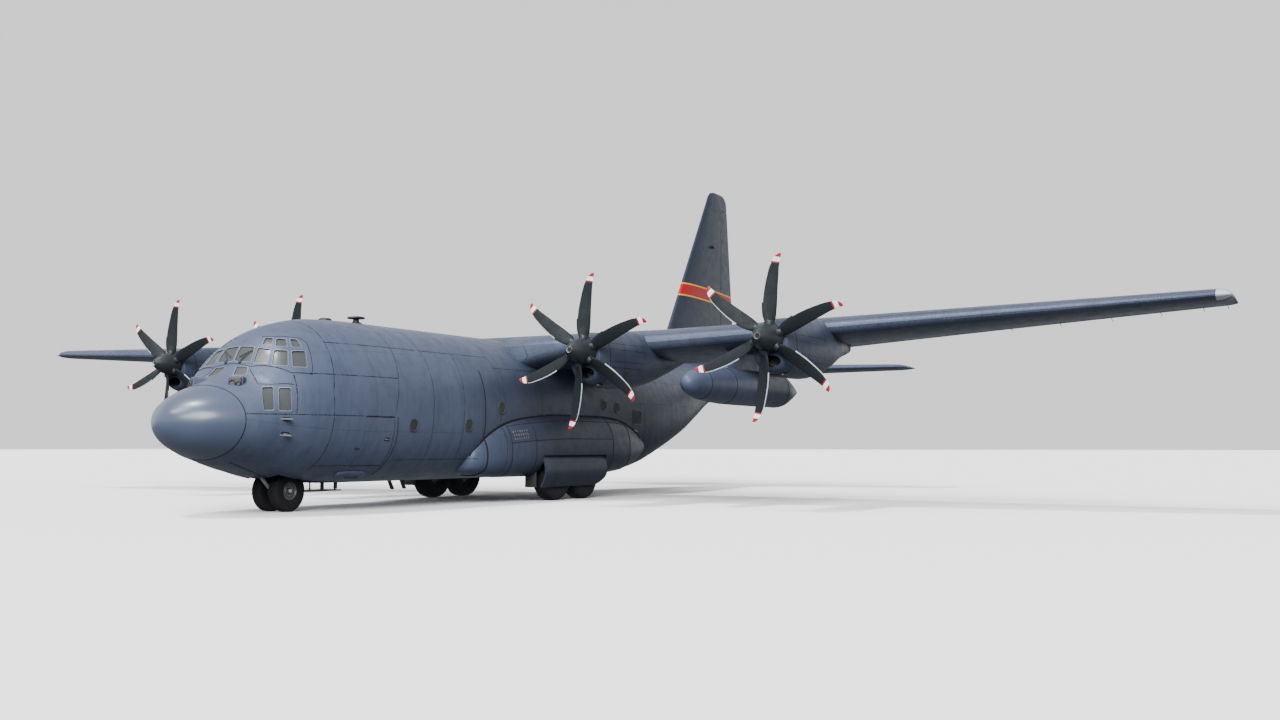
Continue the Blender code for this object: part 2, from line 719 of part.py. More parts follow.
def foil_hollow(front, chord, thick, rear):
    """Points round the space inside a symmetrical foil, as (station, across)."""
    shares = [0.07, 0.14, 0.28, 0.50, (rear - front) / chord]
    reach = [(front + share * chord, foil_half(share, thick) - SKIN) for share in shares]
    return reach + [(station, -half) for station, half in reach[::-1]]


def rudder_station(height):
    (low, first), (high, last) = RUDDER_HINGE
    return blend(first, last, (height - low) / (high - low))


def rudder_ends():
    ends = []
    for height in RUDDER_RIBS:
        station = rudder_station(height)
        _, front, rear, thick = table_row(FIN, height)
        chord = rear - front
        share = (station - front) / chord
        ends.append((at(0, station, height), NOSE_SHARE * foil_half(share, thick)))
    return ends


def make_fin():
    ends = rudder_ends()
    fin = place("fin", loft_mesh("fin", [fin_ring(row[0]) for row in FIN]), "paint")
    hollow = []
    for height in FIN_HOLLOW:
        _, front, rear, thick = table_row(FIN, height)
        hollow.append([at(across, station, height) for station, across in
                       foil_hollow(front, rear - front, thick, rudder_station(height))])
    cut(fin, round_pocket("rudder_pocket", ends, NOSE_PLAY, ACROSS),
        hidden_loft("fin_hollow", hollow), hull_guard)
    low, high = RUDDER_HINGE[0][0], RUDDER_HINGE[1][0]
    rudder = place("rudder", loft_mesh("rudder", [fin_ring(height) for height in (
        low + PLAY, FIN[2][0], high - SURFACE_END)]), "paint")
    keep_inside(rudder, round_pocket("rudder_limit", ends, 0.0, ACROSS))
    join(rudder, hinge_pin("rudder_pin", ends, ACROSS))


def tail_ring(span, side, grow=0.0):
    _, front, rear, thick = table_row(TAILPLANE, span)
    chord = rear - front
    return [at(side * span, front + aft - grow, TAIL_Z + up) for aft, up in
            foil(chord + 2 * grow, (thick + 2 * grow) / chord, 0.0)]


def elevator_ends(side):
    ends = []
    for span in ELEVATOR_RIBS:
        _, front, rear, thick = table_row(TAILPLANE, span)
        chord = rear - front
        share = (ELEVATOR_HINGE - front) / chord
        ends.append((at(side * span, ELEVATOR_HINGE, TAIL_Z),
                     NOSE_SHARE * foil_half(share, thick)))
    return ends


def make_tailplane(hull):
    spans = [row[0] for row in TAILPLANE]
    rings = [tail_ring(span, -1) for span in spans[:0:-1]] + [tail_ring(span, 1) for span in spans]
    plane = place("tailplane", loft_mesh("tailplane", rings), "paint")
    cut(hull["tail_cone"], hidden_loft("tailplane_guard", [
        tail_ring(2.0, -1, GAP), tail_ring(0.0, 1, GAP), tail_ring(2.0, 1, GAP)]))
    start, end = ELEVATOR
    for side, hand in ((1, "left"), (-1, "right")):
        ends = elevator_ends(side)
        hollow = []
        for span in TAILPLANE_HOLLOW:
            _, front, rear, thick = table_row(TAILPLANE, span)
            hollow.append([at(side * span, station, TAIL_Z + up) for station, up in
                           foil_hollow(front, rear - front, thick, ELEVATOR_HINGE)])
        cut(plane, round_pocket(f"elevator_pocket_{hand}", ends, NOSE_PLAY, UP),
            hidden_loft(f"tailplane_hollow_{hand}", hollow))
        elevator = place(f"elevator_{hand}", loft_mesh(
            "elevator", [tail_ring(start + PLAY, side), tail_ring(end - PLAY, side)]), "paint")
        keep_inside(elevator, round_pocket(f"elevator_limit_{hand}", ends, 0.0, UP))
        join(elevator, hinge_pin(f"elevator_pin_{hand}", ends, UP))


def nacelle_rings(x, hub, inset, start, end):
    rings = []
    for station in [start] + [row[0] for row in NACELLE if start < row[0] < end] + [end]:
        _, half, top, bottom = table_row(NACELLE, station)
        outline = oval(NACELLE_SIDES, half - inset, top - inset, bottom + inset,
                       (top + bottom) / 2, 2.4, 2.4)
        rings.append([at(x + across, station, hub + up) for across, up in outline])
    return rings


def make_nacelle(tag, x, hub, side):
    front, rear = NACELLE[0][0], NACELLE[-1][0]
    nacelle = place(f"nacelle_{tag}", loft_mesh("nacelle", nacelle_rings(x, hub, 0, front, rear)),
                    "paint")
    half, low, high = MOUTH
    mouth = [[at(x + across, station, hub + up)
              for across, up in oval(12, half, high, low, (high + low) / 2)]
             for station in (front - 0.1, front + 2 * NACELLE_WALL)]
    cut(nacelle,
        hidden_loft(f"hollow_{tag}",
                    nacelle_rings(x, hub, NACELLE_WALL, front + NACELLE_WALL, NACELLE[-2][0])),
        hidden_loft(f"mouth_{tag}", mouth),
        hide(rod_mesh("shaft_way", (x, front - 0.1, hub), (x, front + 0.2, hub), 0.17),
             f"shaft_way_{tag}"),
        wing_guard[side])


def make_engine(tag, x, hub):
    """A plain block on a cross bar, with the shaft that carries the propeller."""
    engine = place(f"engine_{tag}", box_mesh(
        "engine", (x - 0.42, 9.70, hub - 0.66), (x + 0.42, 11.45, hub + 0.32)), "steel")
    join(engine,
         hide(rod_mesh("shaft", (x, PROP_STATION + SPINNER[-1][0] + GAP, hub), (x, 9.80, hub), 0.14),
              f"shaft_{tag}"),
         hidden_box(f"engine_mount_{tag}", (x - 0.9, 10.5, hub - 0.20), (x + 0.9, 10.8, hub - 0.08)))
    keep_inside(engine, hidden_loft(f"engine_limit_{tag}", nacelle_rings(
        x, hub, NACELLE_WALL + GAP, 8.9, 13.0)))


def blade_mesh():
    """A blade that points up; its leading edge lies towards -X."""
    rings = []
    for radius, chord, thick, pitch, offset in BLADE:
        turned = math.radians(pitch)
        ring = []
        for along, front in BLADE_SECTION:
            a, b = along * chord, front * thick
            ring.append(Vector((offset + a * math.cos(turned) + b * math.sin(turned),
                                a * math.sin(turned) - b * math.cos(turned), radius)))
        rings.append(ring)
    return loft_mesh("blade", rings)


def make_propellers():
    """A spinner with its blades, made once and copied to each hub."""
    spinner = hide(profile_mesh("spinner", [(0, aft, radius) for aft, radius in SPINNER[::-1]]),
                   "spinner")
    turn(spinner, "Y", 16)
    for number in range(BLADES):
        mesh = blade_mesh()
        angle = math.radians(90 - FIRST_BLADE - number * 360 / BLADES)
        mesh.transform(Matrix.Rotation(angle, 4, "Y"))
        join(spinner, hide(mesh, f"blade_{number}"))
    bpy.context.view_layer.update()
    graph = bpy.context.evaluated_depsgraph_get()
    shared = bpy.data.meshes.new_from_object(spinner.evaluated_get(graph))
    hubs = [(ENGINE_X[1], HUB_Z[1]), (ENGINE_X[0], HUB_Z[0]),
            (-ENGINE_X[0], HUB_Z[0]), (-ENGINE_X[1], HUB_Z[1])]
    for number, (x, hub) in enumerate(hubs):
        place(f"propeller_{number + 1}", shared.copy(), "dark", at(x, PROP_STATION, hub))


def make_engines():
    for side, hand in ((1, "left"), (-1, "right")):
        for x, hub, spot in zip(ENGINE_X, HUB_Z, ("inner", "outer")):
            make_nacelle(f"{spot}_{hand}", side * x, hub, side)
            make_engine(f"{spot}_{hand}", side * x, hub)


def sponson_ring(row, side):
    station, reach, top, bottom = row
    half = (reach - SPONSON_INNER) / 2
    outline = oval(SPONSON_SIDES, half, top, bottom, blend(bottom, top, 0.45), 2.3, 2.6)
    return [at(side * (SPONSON_INNER + half + x), station, z) for x, z in outline]


def tyre_half(radius, width, hub):
    """From the hub's face to the middle of the tread, as radius and half width."""
    half = width / 2
    return [(hub * 0.92, 0.50 * half), (hub, 0.86 * half), (0.84 * radius, half),
            (0.96 * radius, 0.74 * half), (radius, 0.28 * half)]


def make_main_wheel(name, x, station):
    bore = AXLE_R + BEARING
    half = [(bore, 0.50 * MAIN_TYRE_W / 2)] + tyre_half(MAIN_TYRE_R, MAIN_TYRE_W, 0.30)
    outline = [(w, r, 0) for r, w in half] + [(-w, r, 0) for r, w in half[::-1]]
    wheel = place(name, profile_mesh("wheel", outline, closed=True), "tyre",
                  at(x, station, MAIN_TYRE_R))
    turn(wheel, "X", TYRE_STEPS)


def make_main_gear():
    front, rear = MAIN_GEAR - MAIN_PITCH / 2, MAIN_GEAR + MAIN_PITCH / 2
    for side, hand in ((1, "left"), (-1, "right")):
        def spans(near, far):
            return sorted((side * near, side * far))

        def block(name, near, far, start, end, low, high):
            first, last = spans(near, far)
            return box_mesh(name, (first, start, low), (last, end, high))

        sponson = place(f"sponson_{hand}", loft_mesh(
            "sponson", [sponson_ring(row, side) for row in SPONSON]), "paint")
        cut(sponson,
            hide(block("well", *WELL_X, *WELL, -0.5, WELL_TOP), f"well_{hand}"),
            hide(block("door_gap", 2.3, 3.2, *WELL, -0.5, DOOR_TOP), f"door_gap_{hand}"),
            hull_guard)
        place(f"main_gear_door_{hand}", block(
            "door", 2.575, 2.63, WELL[0] + 0.01, WELL[1] - 0.01, 0.41, DOOR_TOP - GAP), "paint")
        legs = place(f"main_gear_legs_{hand}", block(
            "legs", 1.73, 1.87, front - 0.05, rear + 0.05, 0.86, 1.00), "steel")
        for station, spot in ((front, "front"), (rear, "rear")):
            join(legs,
                 hide(rod_mesh("strut", (side * 1.80, station, 0.60), (side * 1.80, station, 1.9), 0.095),
                      f"strut_{spot}_{hand}"),
                 hide(rod_mesh("axle", (side * 1.74, station, MAIN_TYRE_R),
                               (side * (MAIN_X + 0.12), station, MAIN_TYRE_R), AXLE_R, 24),
                      f"axle_{spot}_{hand}"))
            make_main_wheel(f"main_wheel_{spot}_{hand}", side * MAIN_X, station)
        cut(legs, hull_guard)


def make_nose_gear():
    half, _, _, ceiling = NOSE_BAY
    hub = NOSE_TYRE_R
    middle = 1.16
    strut = place("nose_gear_strut", rod_mesh(
        "strut", (0, NOSE_GEAR, middle), (0, NOSE_GEAR, ceiling - GAP), 0.12), "steel")
    join(strut, hide(rod_mesh("trunnion", (GAP - half, NOSE_GEAR, 1.45),
                              (half - GAP, NOSE_GEAR, 1.45), 0.06), "trunnion"))
    leg = place("nose_gear_leg", rod_mesh(
        "leg", (0, NOSE_GEAR, hub), (0, NOSE_GEAR, middle - GAP), 0.085), "steel")
    join(leg, hide(rod_mesh("sleeve", (-0.10, NOSE_GEAR, hub), (0.10, NOSE_GEAR, hub), 0.10, 16),
                   "sleeve"))
    cut(leg, hide(rod_mesh("sleeve_bore", (-0.5, NOSE_GEAR, hub), (0.5, NOSE_GEAR, hub),
                           0.055 + BEARING, 24), "sleeve_bore"))
    tyre = tyre_half(NOSE_TYRE_R, NOSE_TYRE_W, 0.21)
    outer = [(NOSE_TYRE_X + 0.08, 0.0)] + [(NOSE_TYRE_X + w, r) for r, w in tyre]
    inner = [(NOSE_TYRE_X - w, r) for r, w in tyre[::-1]] + [(NOSE_TYRE_X - 0.08, 0.055)]
    right_half = [(x, r, 0) for x, r in outer + inner]
    outline = right_half + [(-x, r, 0) for x, r, _ in right_half[::-1]]
    wheels = place("nose_wheels", profile_mesh("nose_wheels", outline), "tyre",
                   at(0, NOSE_GEAR, hub))
    turn(wheels, "X", TYRE_STEPS)
    front, rear, width, height = NOSE_DOOR
    door = place("nose_gear_door", box_mesh(
        "nose_gear_door", (-width, front, height), (width, rear, height + 0.03)), "paint")
    for x in (-0.2, 0.2):
        for station in (4.72, 5.18):
            join(door, hide(rod_mesh("link", (x, station, height + 0.01), (x, station, 1.0), 0.02, 8),
                            f"link_{x}_{station}"))
    cut(door, hull_guard)


def make_tanks():
    for side, hand in ((1, "left"), (-1, "right")):
        tank = place(f"drop_tank_{hand}", profile_mesh(
            "tank", [(0, aft, radius) for aft, radius in TANK[::-1]]), "paint",
            at(side * TANK_X, TANK_MIDDLE, TANK_Z))
        turn(tank, "Y", 20)
        join(tank, hidden_loft(f"pylon_{hand}", [[at(side * TANK_X + x, station, z)
             for station, x in PYLON] for z in (TANK_Z + 0.35, 4.6)]))
        cut(tank, wing_guard[side])


fuselage = make_hull()
make_glazing()
make_decks()
make_doors(fuselage)
make_ramp(fuselage)
make_wing()
make_fin()
make_tailplane(fuselage)
make_engines()
make_propellers()
make_main_gear()
make_nose_gear()
make_tanks()
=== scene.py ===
import json
import math

import bpy
from mathutils import Matrix, Vector

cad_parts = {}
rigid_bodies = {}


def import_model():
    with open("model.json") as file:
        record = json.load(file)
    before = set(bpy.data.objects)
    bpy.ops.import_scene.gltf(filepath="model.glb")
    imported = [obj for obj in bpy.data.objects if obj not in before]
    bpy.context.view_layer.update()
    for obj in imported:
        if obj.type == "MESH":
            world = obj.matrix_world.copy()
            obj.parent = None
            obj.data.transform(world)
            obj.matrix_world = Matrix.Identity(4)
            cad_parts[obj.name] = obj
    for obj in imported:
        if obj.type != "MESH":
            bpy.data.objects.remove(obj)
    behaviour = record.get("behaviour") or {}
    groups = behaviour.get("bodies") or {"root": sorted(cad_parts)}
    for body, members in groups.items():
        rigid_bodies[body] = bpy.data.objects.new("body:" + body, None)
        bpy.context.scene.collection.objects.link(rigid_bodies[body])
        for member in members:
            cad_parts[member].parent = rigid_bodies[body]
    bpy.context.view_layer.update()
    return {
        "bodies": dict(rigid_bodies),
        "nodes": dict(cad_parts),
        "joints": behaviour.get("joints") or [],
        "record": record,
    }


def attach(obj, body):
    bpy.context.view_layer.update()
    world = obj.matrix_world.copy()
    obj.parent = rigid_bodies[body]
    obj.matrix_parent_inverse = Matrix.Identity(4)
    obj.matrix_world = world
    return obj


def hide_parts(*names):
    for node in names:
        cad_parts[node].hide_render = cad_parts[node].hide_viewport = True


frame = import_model()
nodes = frame["nodes"]

# All places are the full-size aeroplane's, in metres: x towards the port wing tip,
# station aft of the nose tip, height above the ground. spot() gives them at half size.
aeroplane = {"length": 29.79, "modelScale": 0.5}
halfSize = aeroplane["modelScale"]


def spot(x, station, height):
    return Vector((x, station - aeroplane["length"] / 2, height)) * halfSize


def clearSelection():
    if bpy.context.object and bpy.context.object.mode != "OBJECT":
        bpy.ops.object.mode_set(mode="OBJECT")
    bpy.ops.object.select_all(action="DESELECT")


def pick(piece):
    clearSelection()
    piece.select_set(True)
    bpy.context.view_layer.objects.active = piece


def nameActive(name):
    piece = bpy.context.active_object
    piece.name = name
    piece.data.name = name
    return piece


def settle(piece):
    pick(piece)
    bpy.ops.object.transform_apply(location=True, rotation=True, scale=True)
    return piece


def tidyMesh(piece, closeEnds=False):
    pick(piece)
    bpy.ops.object.mode_set(mode="EDIT")
    bpy.ops.mesh.select_all(action="SELECT")
    bpy.ops.mesh.remove_doubles(threshold=0.00002)
    bpy.ops.mesh.dissolve_degenerate(threshold=0.00001)
    if closeEnds:
        bpy.ops.mesh.select_all(action="SELECT")
        bpy.ops.mesh.fill_holes(sides=0)
    bpy.ops.mesh.select_all(action="SELECT")
    bpy.ops.mesh.normals_make_consistent(inside=False)
    bpy.ops.object.mode_set(mode="OBJECT")
    return piece


def smoothEdges(piece, degrees=32):
    pick(piece)
    bpy.ops.object.shade_smooth_by_angle(angle=math.radians(degrees))
    return piece


def rolledSkin(name, around, along, pointAt, closeEnds=True):
    # a grid rolled into a tube; pointAt takes the steps round and along
    clearSelection()
    bpy.ops.mesh.primitive_grid_add(x_subdivisions=around, y_subdivisions=along, size=2)
    skin = nameActive(name)
    for vertex in skin.data.vertices:
        step = round((vertex.co.x + 1) / 2 * around) % around
        row = round((vertex.co.y + 1) / 2 * along)
        vertex.co = pointAt(step, row)
    return tidyMesh(skin, closeEnds)


def stackedRings(name, rings, closeEnds=True):
    return rolledSkin(name, len(rings[0]), len(rings) - 1,
                      lambda step, row: rings[row][step], closeEnds)


def openStrip(name, lines, closed=False):
    # a strip between rows of points, given a thickness later
    clearSelection()
    bpy.ops.mesh.primitive_grid_add(x_subdivisions=len(lines[0]) - 1,
                                    y_subdivisions=len(lines) - 1, size=2)
    strip = nameActive(name)
    for vertex in strip.data.vertices:
        step = round((vertex.co.x + 1) / 2 * (len(lines[0]) - 1))
        row = round((vertex.co.y + 1) / 2 * (len(lines) - 1))
        vertex.co = lines[row][step]
    return tidyMesh(strip)


def applyModifier(piece, kind, **settings):
    pick(piece)
    change = piece.modifiers.new(kind.title(), kind)
    for key, value in settings.items():
        setattr(change, key, value)
    bpy.ops.object.modifier_apply(modifier=change.name)
    return piece


def cutWith(piece, tool, operation="DIFFERENCE", keepTool=False):
    applyModifier(piece, "BOOLEAN", operation=operation, solver="EXACT", object=tool)
    if not keepTool:
        bpy.data.objects.remove(tool, do_unlink=True)
    return piece


def joinPieces(name, pieces):
    clearSelection()
    for piece in pieces:
        piece.select_set(True)
    bpy.context.view_layer.objects.active = pieces[0]
    if len(pieces) > 1:
        bpy.ops.object.join()
    return nameActive(name)


def copyPiece(piece, name):
    twin = piece.copy()
    twin.data = piece.data.copy()
    twin.name = name
    twin.data.name = name
    bpy.context.scene.collection.objects.link(twin)
    return twin


def mirroredCopy(piece, name):
    twin = copyPiece(piece, name)
    twin.data.transform(Matrix.Scale(-1, 4, Vector((1, 0, 0))))
    twin.data.flip_normals()
    return twin


def blockPiece(name, low, high, bevel=0.0, steps=2):
    # a block between two corners given as x, station, height
    first, last = spot(*low), spot(*high)
    clearSelection()
    bpy.ops.mesh.primitive_cube_add(size=1, location=(first + last) / 2,
                                    scale=[abs(side) for side in last - first])
    block = settle(nameActive(name))
    if bevel:
        applyModifier(block, "BEVEL", width=bevel * halfSize, segments=steps,
                      limit_method="NONE")
    return block


def rodPiece(name, start, end, radius, endRadius=None, sides=20, bevel=0.0):
    first, last = spot(*start), spot(*end)
    run = last - first
    clearSelection()
    bpy.ops.mesh.primitive_cone_add(
        vertices=sides, radius1=radius * halfSize,
        radius2=(radius if endRadius is None else endRadius) * halfSize,
        depth=run.length, location=(first + last) / 2,
        rotation=run.to_track_quat("Z", "Y").to_euler())
    rod = settle(nameActive(name))
    if bevel:
        applyModifier(rod, "BEVEL", width=bevel * halfSize, segments=2,
                      limit_method="ANGLE", angle_limit=math.radians(60))
    return rod


def turnedPiece(name, outline, centre, axis="X", steps=48):
    # an outline of (along, radius) spun about an axis through a centre
    clearSelection()
    bpy.ops.mesh.primitive_circle_add(vertices=len(outline))
    body = nameActive(name)
    middle = spot(*centre)
    heading = Vector((1, 0, 0)) if axis == "X" else Vector((0, 1, 0))
    for vertex, (along, radius) in zip(body.data.vertices, outline):
        vertex.co = middle + (heading * along + Vector((0, 0, 1)) * radius) * halfSize
    pick(body)
    bpy.ops.object.mode_set(mode="EDIT")
    bpy.ops.mesh.select_all(action="SELECT")
    bpy.ops.mesh.spin(steps=steps, angle=math.tau, center=middle, axis=heading,
                      use_auto_merge=True)
    bpy.ops.mesh.select_all(action="SELECT")
    bpy.ops.mesh.remove_doubles(threshold=0.00002)
    bpy.ops.mesh.delete_loose(use_verts=True, use_edges=True, use_faces=False)
    bpy.ops.object.mode_set(mode="OBJECT")
    return tidyMesh(body)


def tubeAlong(name, points, radius, sides=8):
    # a thin pipe through points given as x, station, height
    clearSelection()
    bpy.ops.curve.primitive_nurbs_path_add()
    bpy.context.object.data.splines.clear()
    pipe = bpy.context.object
    line = pipe.data.splines.new("POLY")
    line.points.add(len(points) - 1)
    for place, point in zip(line.points, points):
        place.co = (*spot(*point), 1)
    pipe.data.bevel_depth = radius * halfSize
    pipe.data.bevel_resolution = max(0, sides // 2 - 2)
    pipe.data.use_fill_caps = True
    pick(pipe)
    bpy.ops.object.convert(target="MESH")
    return tidyMesh(nameActive(name))


def dress(piece, *materials):
    piece.data.materials.clear()
    for material in materials:
        piece.data.materials.append(material)
    return piece


def keepPiece(piece, body, slotName, *replaced):
    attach(piece, body)
    if replaced:
        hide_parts(*replaced)
    return piece


def smoothRow(rows, key):
    # a row between a table's rows on smooth curves that never overshoot
    last = len(rows) - 1
    if key <= rows[0][0]:
        return rows[0]
    if key >= rows[last][0]:
        return rows[last]
    low = max(i for i in range(last) if rows[i][0] <= key)
    span = rows[low + 1][0] - rows[low][0]
    share = (key - rows[low][0]) / span
    found = [key]
    for column in range(1, len(rows[0])):
        slopes = [(rows[i + 1][column] - rows[i][column]) / (rows[i + 1][0] - rows[i][0])
                  if 0 <= i < last else None for i in (low - 1, low, low + 1)]
        leans = []
        for before, after in ((slopes[0], slopes[1]), (slopes[1], slopes[2])):
            if before is None or after is None:
                leans.append(slopes[1])
            elif before * after <= 0:
                leans.append(0.0)
            else:
                leans.append(2 * before * after / (before + after))
        start, end = rows[low][column], rows[low + 1][column]
        cube, square = share ** 3, share ** 2
        found.append((2 * cube - 3 * square + 1) * start + (3 * square - 2 * cube) * end
                     + (cube - 2 * square + share) * span * leans[0]
                     + (cube - square) * span * leans[1])
    return tuple(found)


def straightRow(rows, key):
    if key <= rows[0][0]:
        return rows[0]
    for low, high in zip(rows, rows[1:]):
        if key <= high[0]:
            share = (key - low[0]) / (high[0] - low[0])
            return tuple(a + (b - a) * share for a, b in zip(low, high))
    return rows[-1]


# Materials

def addNode(tree, kind, settings=None, sockets=None):
    node = tree.nodes.new(kind)
    for key, value in (settings or {}).items():
        setattr(node, key, value)
    for key, value in (sockets or {}).items():
        if isinstance(value, bpy.types.NodeSocket):
            tree.links.new(value, node.inputs[key])
        else:
            node.inputs[key].default_value = value
    return node


def maths(tree, operation, first, second=0.0):
    node = addNode(tree, "ShaderNodeMath", {"operation": operation}, {0: first, 1: second})
    return node.outputs[0]


def placeOn(tree, scale=(1, 1, 1), turn=(0, 0, 0), shift=(0, 0, 0)):
    place = addNode(tree, "ShaderNodeTexCoord")
    return addNode(tree, "ShaderNodeMapping", None, {
        "Vector": place.outputs["Object"], "Scale": scale, "Rotation": turn,
        "Location": shift}).outputs[0]


def noise(tree, place, scale, detail=4.0, roughness=0.55):
    return addNode(tree, "ShaderNodeTexNoise", None, {
        "Vector": place, "Scale": scale, "Detail": detail,
        "Roughness": roughness}).outputs[0]


def ramp(tree, factor, low, high, start=0.0, end=1.0):
    node = addNode(tree, "ShaderNodeMapRange", {"clamp": True}, {
        "Value": factor, "From Min": low, "From Max": high, "To Min": start, "To Max": end})
    return node.outputs[0]


def mixed(tree, factor, first, second, blend="MIX"):
    node = addNode(tree, "ShaderNodeMix", {"data_type": "RGBA", "blend_type": blend})
    for index, value in ((0, factor), (6, first), (7, second)):
        if isinstance(value, bpy.types.NodeSocket):
            tree.links.new(value, node.inputs[index])
        elif index == 0:
            node.inputs[0].default_value = value
        else:
            node.inputs[index].default_value = (*value, 1)
    return node.outputs[2]


def bump(tree, shader, height, strength, distance=0.002):
    node = addNode(tree, "ShaderNodeBump", None, {
        "Height": height, "Strength": strength, "Distance": distance})
    tree.links.new(node.outputs[0], shader.inputs["Normal"])


def newMaterial(name, roughness, metallic=0.0):
    material = bpy.data.materials.new(name)
    material.use_nodes = True
    shader = material.node_tree.nodes["Principled BSDF"]
    shader.inputs["Roughness"].default_value = roughness
    shader.inputs["Metallic"].default_value = metallic
    return material, material.node_tree, shader


paintLook = {
    # sootAndShade is near-black: it darkens the panel joints, and it is also the colour mixed in for
    # painted shade
    "blueGrey": (0.050, 0.064, 0.104), "pale": (0.068, 0.083, 0.128), "sootAndShade": (0.004, 0.005, 0.007),
    "grime": 0.42, "roughness": (0.34, 0.48), "panel": (1.30, 0.90), "panelLine": 0.010,
    "gloss": 0.26, "sheenTint": (0.62, 0.77, 1.0), "chip": (0.16, 0.18, 0.21),
}
# Joints that show on the hull: station at a height, lean aft per metre of height, and the
# heights or stations between which a joint runs
hullJoints = {
    "width": 0.016,
    "rings": [
        (3.10, 2.80, 0.26, 2.80, 5.00), (3.10, 2.80, 0.00, 0.00, 2.80), (2.13, 2.30, 0.14, 2.27, 3.18),
        (5.12, 2.27, 0.24, 2.27, 5.00), (5.14, 2.27, 0.00, 0.00, 2.27), (6.62, 2.30, 0.04, 0.00, 5.00),
        (7.90, 2.30, 0.04, 0.00, 5.00), (9.56, 2.30, 0.04, 0.00, 5.00), (11.60, 2.30, 0.00, 2.30, 5.00),
        (13.60, 2.30, 0.00, 2.30, 5.00), (15.30, 2.30, 0.00, 2.30, 5.00), (16.50, 2.30, 0.00, 0.00, 5.00),
        *((station, 2.30, 0.00, 0.00, 5.00)
          for station in (18.18, 19.60, 21.20, 23.00, 26.30, 28.10))],
    "lines": [(2.27, 1.06, 5.12), (3.22, 2.60, 5.32), (4.00, 3.40, 9.56), (1.22, 5.40, 8.60),
              (3.70, 9.56, 23.0), (2.95, 17.9, 26.3), (1.10, 3.10, 4.08)],
    # ribs: stripes of painted shade on the aft hull, standing in for the shading of the frames under the
    # skin
    "ribs": {"start": 17.6, "end": 24.6, "spacing": 0.42, "depth": 0.35},
}


def nearLine(tree, value, place, width):
    # one on a line, falling to nothing at a width from it
    away = maths(tree, "ABSOLUTE", maths(tree, "SUBTRACT", value, place))
    return ramp(tree, away, width * 0.35, width, 1.0, 0.0)


def between(tree, value, low, high):
    return maths(tree, "MULTIPLY", maths(tree, "GREATER_THAN", value, low),
                 maths(tree, "LESS_THAN", value, high))


def hullJointMask(tree, station, height):
    total = None
    width = hullJoints["width"]
    for start, at, lean, low, high in hullJoints["rings"]:
        upright = maths(tree, "SUBTRACT", station, maths(tree, "MULTIPLY", height, lean))
        line = nearLine(tree, upright, start - at * lean, width)
        if (low, high) != (0.0, 5.0):
            line = maths(tree, "MULTIPLY", line, between(tree, height, low, high))
        total = line if total is None else maths(tree, "MAXIMUM", total, line)
    for level, start, end in hullJoints["lines"]:
        line = maths(tree, "MULTIPLY", nearLine(tree, height, level, width),
                     between(tree, station, start, end))
        total = maths(tree, "MAXIMUM", total, line)
    return total


def wingEdgeDistance(tree, x, y):
    # metres aft of the wing's leading edge, which is swept beyond the break
    outboard = maths(tree, "SUBTRACT", maths(tree, "ABSOLUTE", x), 5.588 * halfSize)
    swept = maths(tree, "MULTIPLY", maths(tree, "MAXIMUM", outboard, 0.0), 0.0391)
    ahead = (11.62 - aeroplane["length"] / 2) * halfSize
    behind = maths(tree, "SUBTRACT", maths(tree, "SUBTRACT", y, ahead), swept)
    return maths(tree, "MULTIPLY", behind, 1 / halfSize)


def hullRibShadeMask(tree, station, broad):
    # painted shade: dark stripes across the aft hull at the frames
    ribs = hullJoints["ribs"]
    wave = maths(tree, "SINE", maths(tree, "MULTIPLY", station, math.tau / ribs["spacing"]))
    wave = ramp(tree, wave, 0.2, 1.0, 0.0, ribs["depth"])
    wave = maths(tree, "MULTIPLY", wave, between(tree, station, ribs["start"], ribs["end"]))
    return maths(tree, "MULTIPLY", wave, ramp(tree, broad, 0.3, 0.6, 0.4, 1.0))


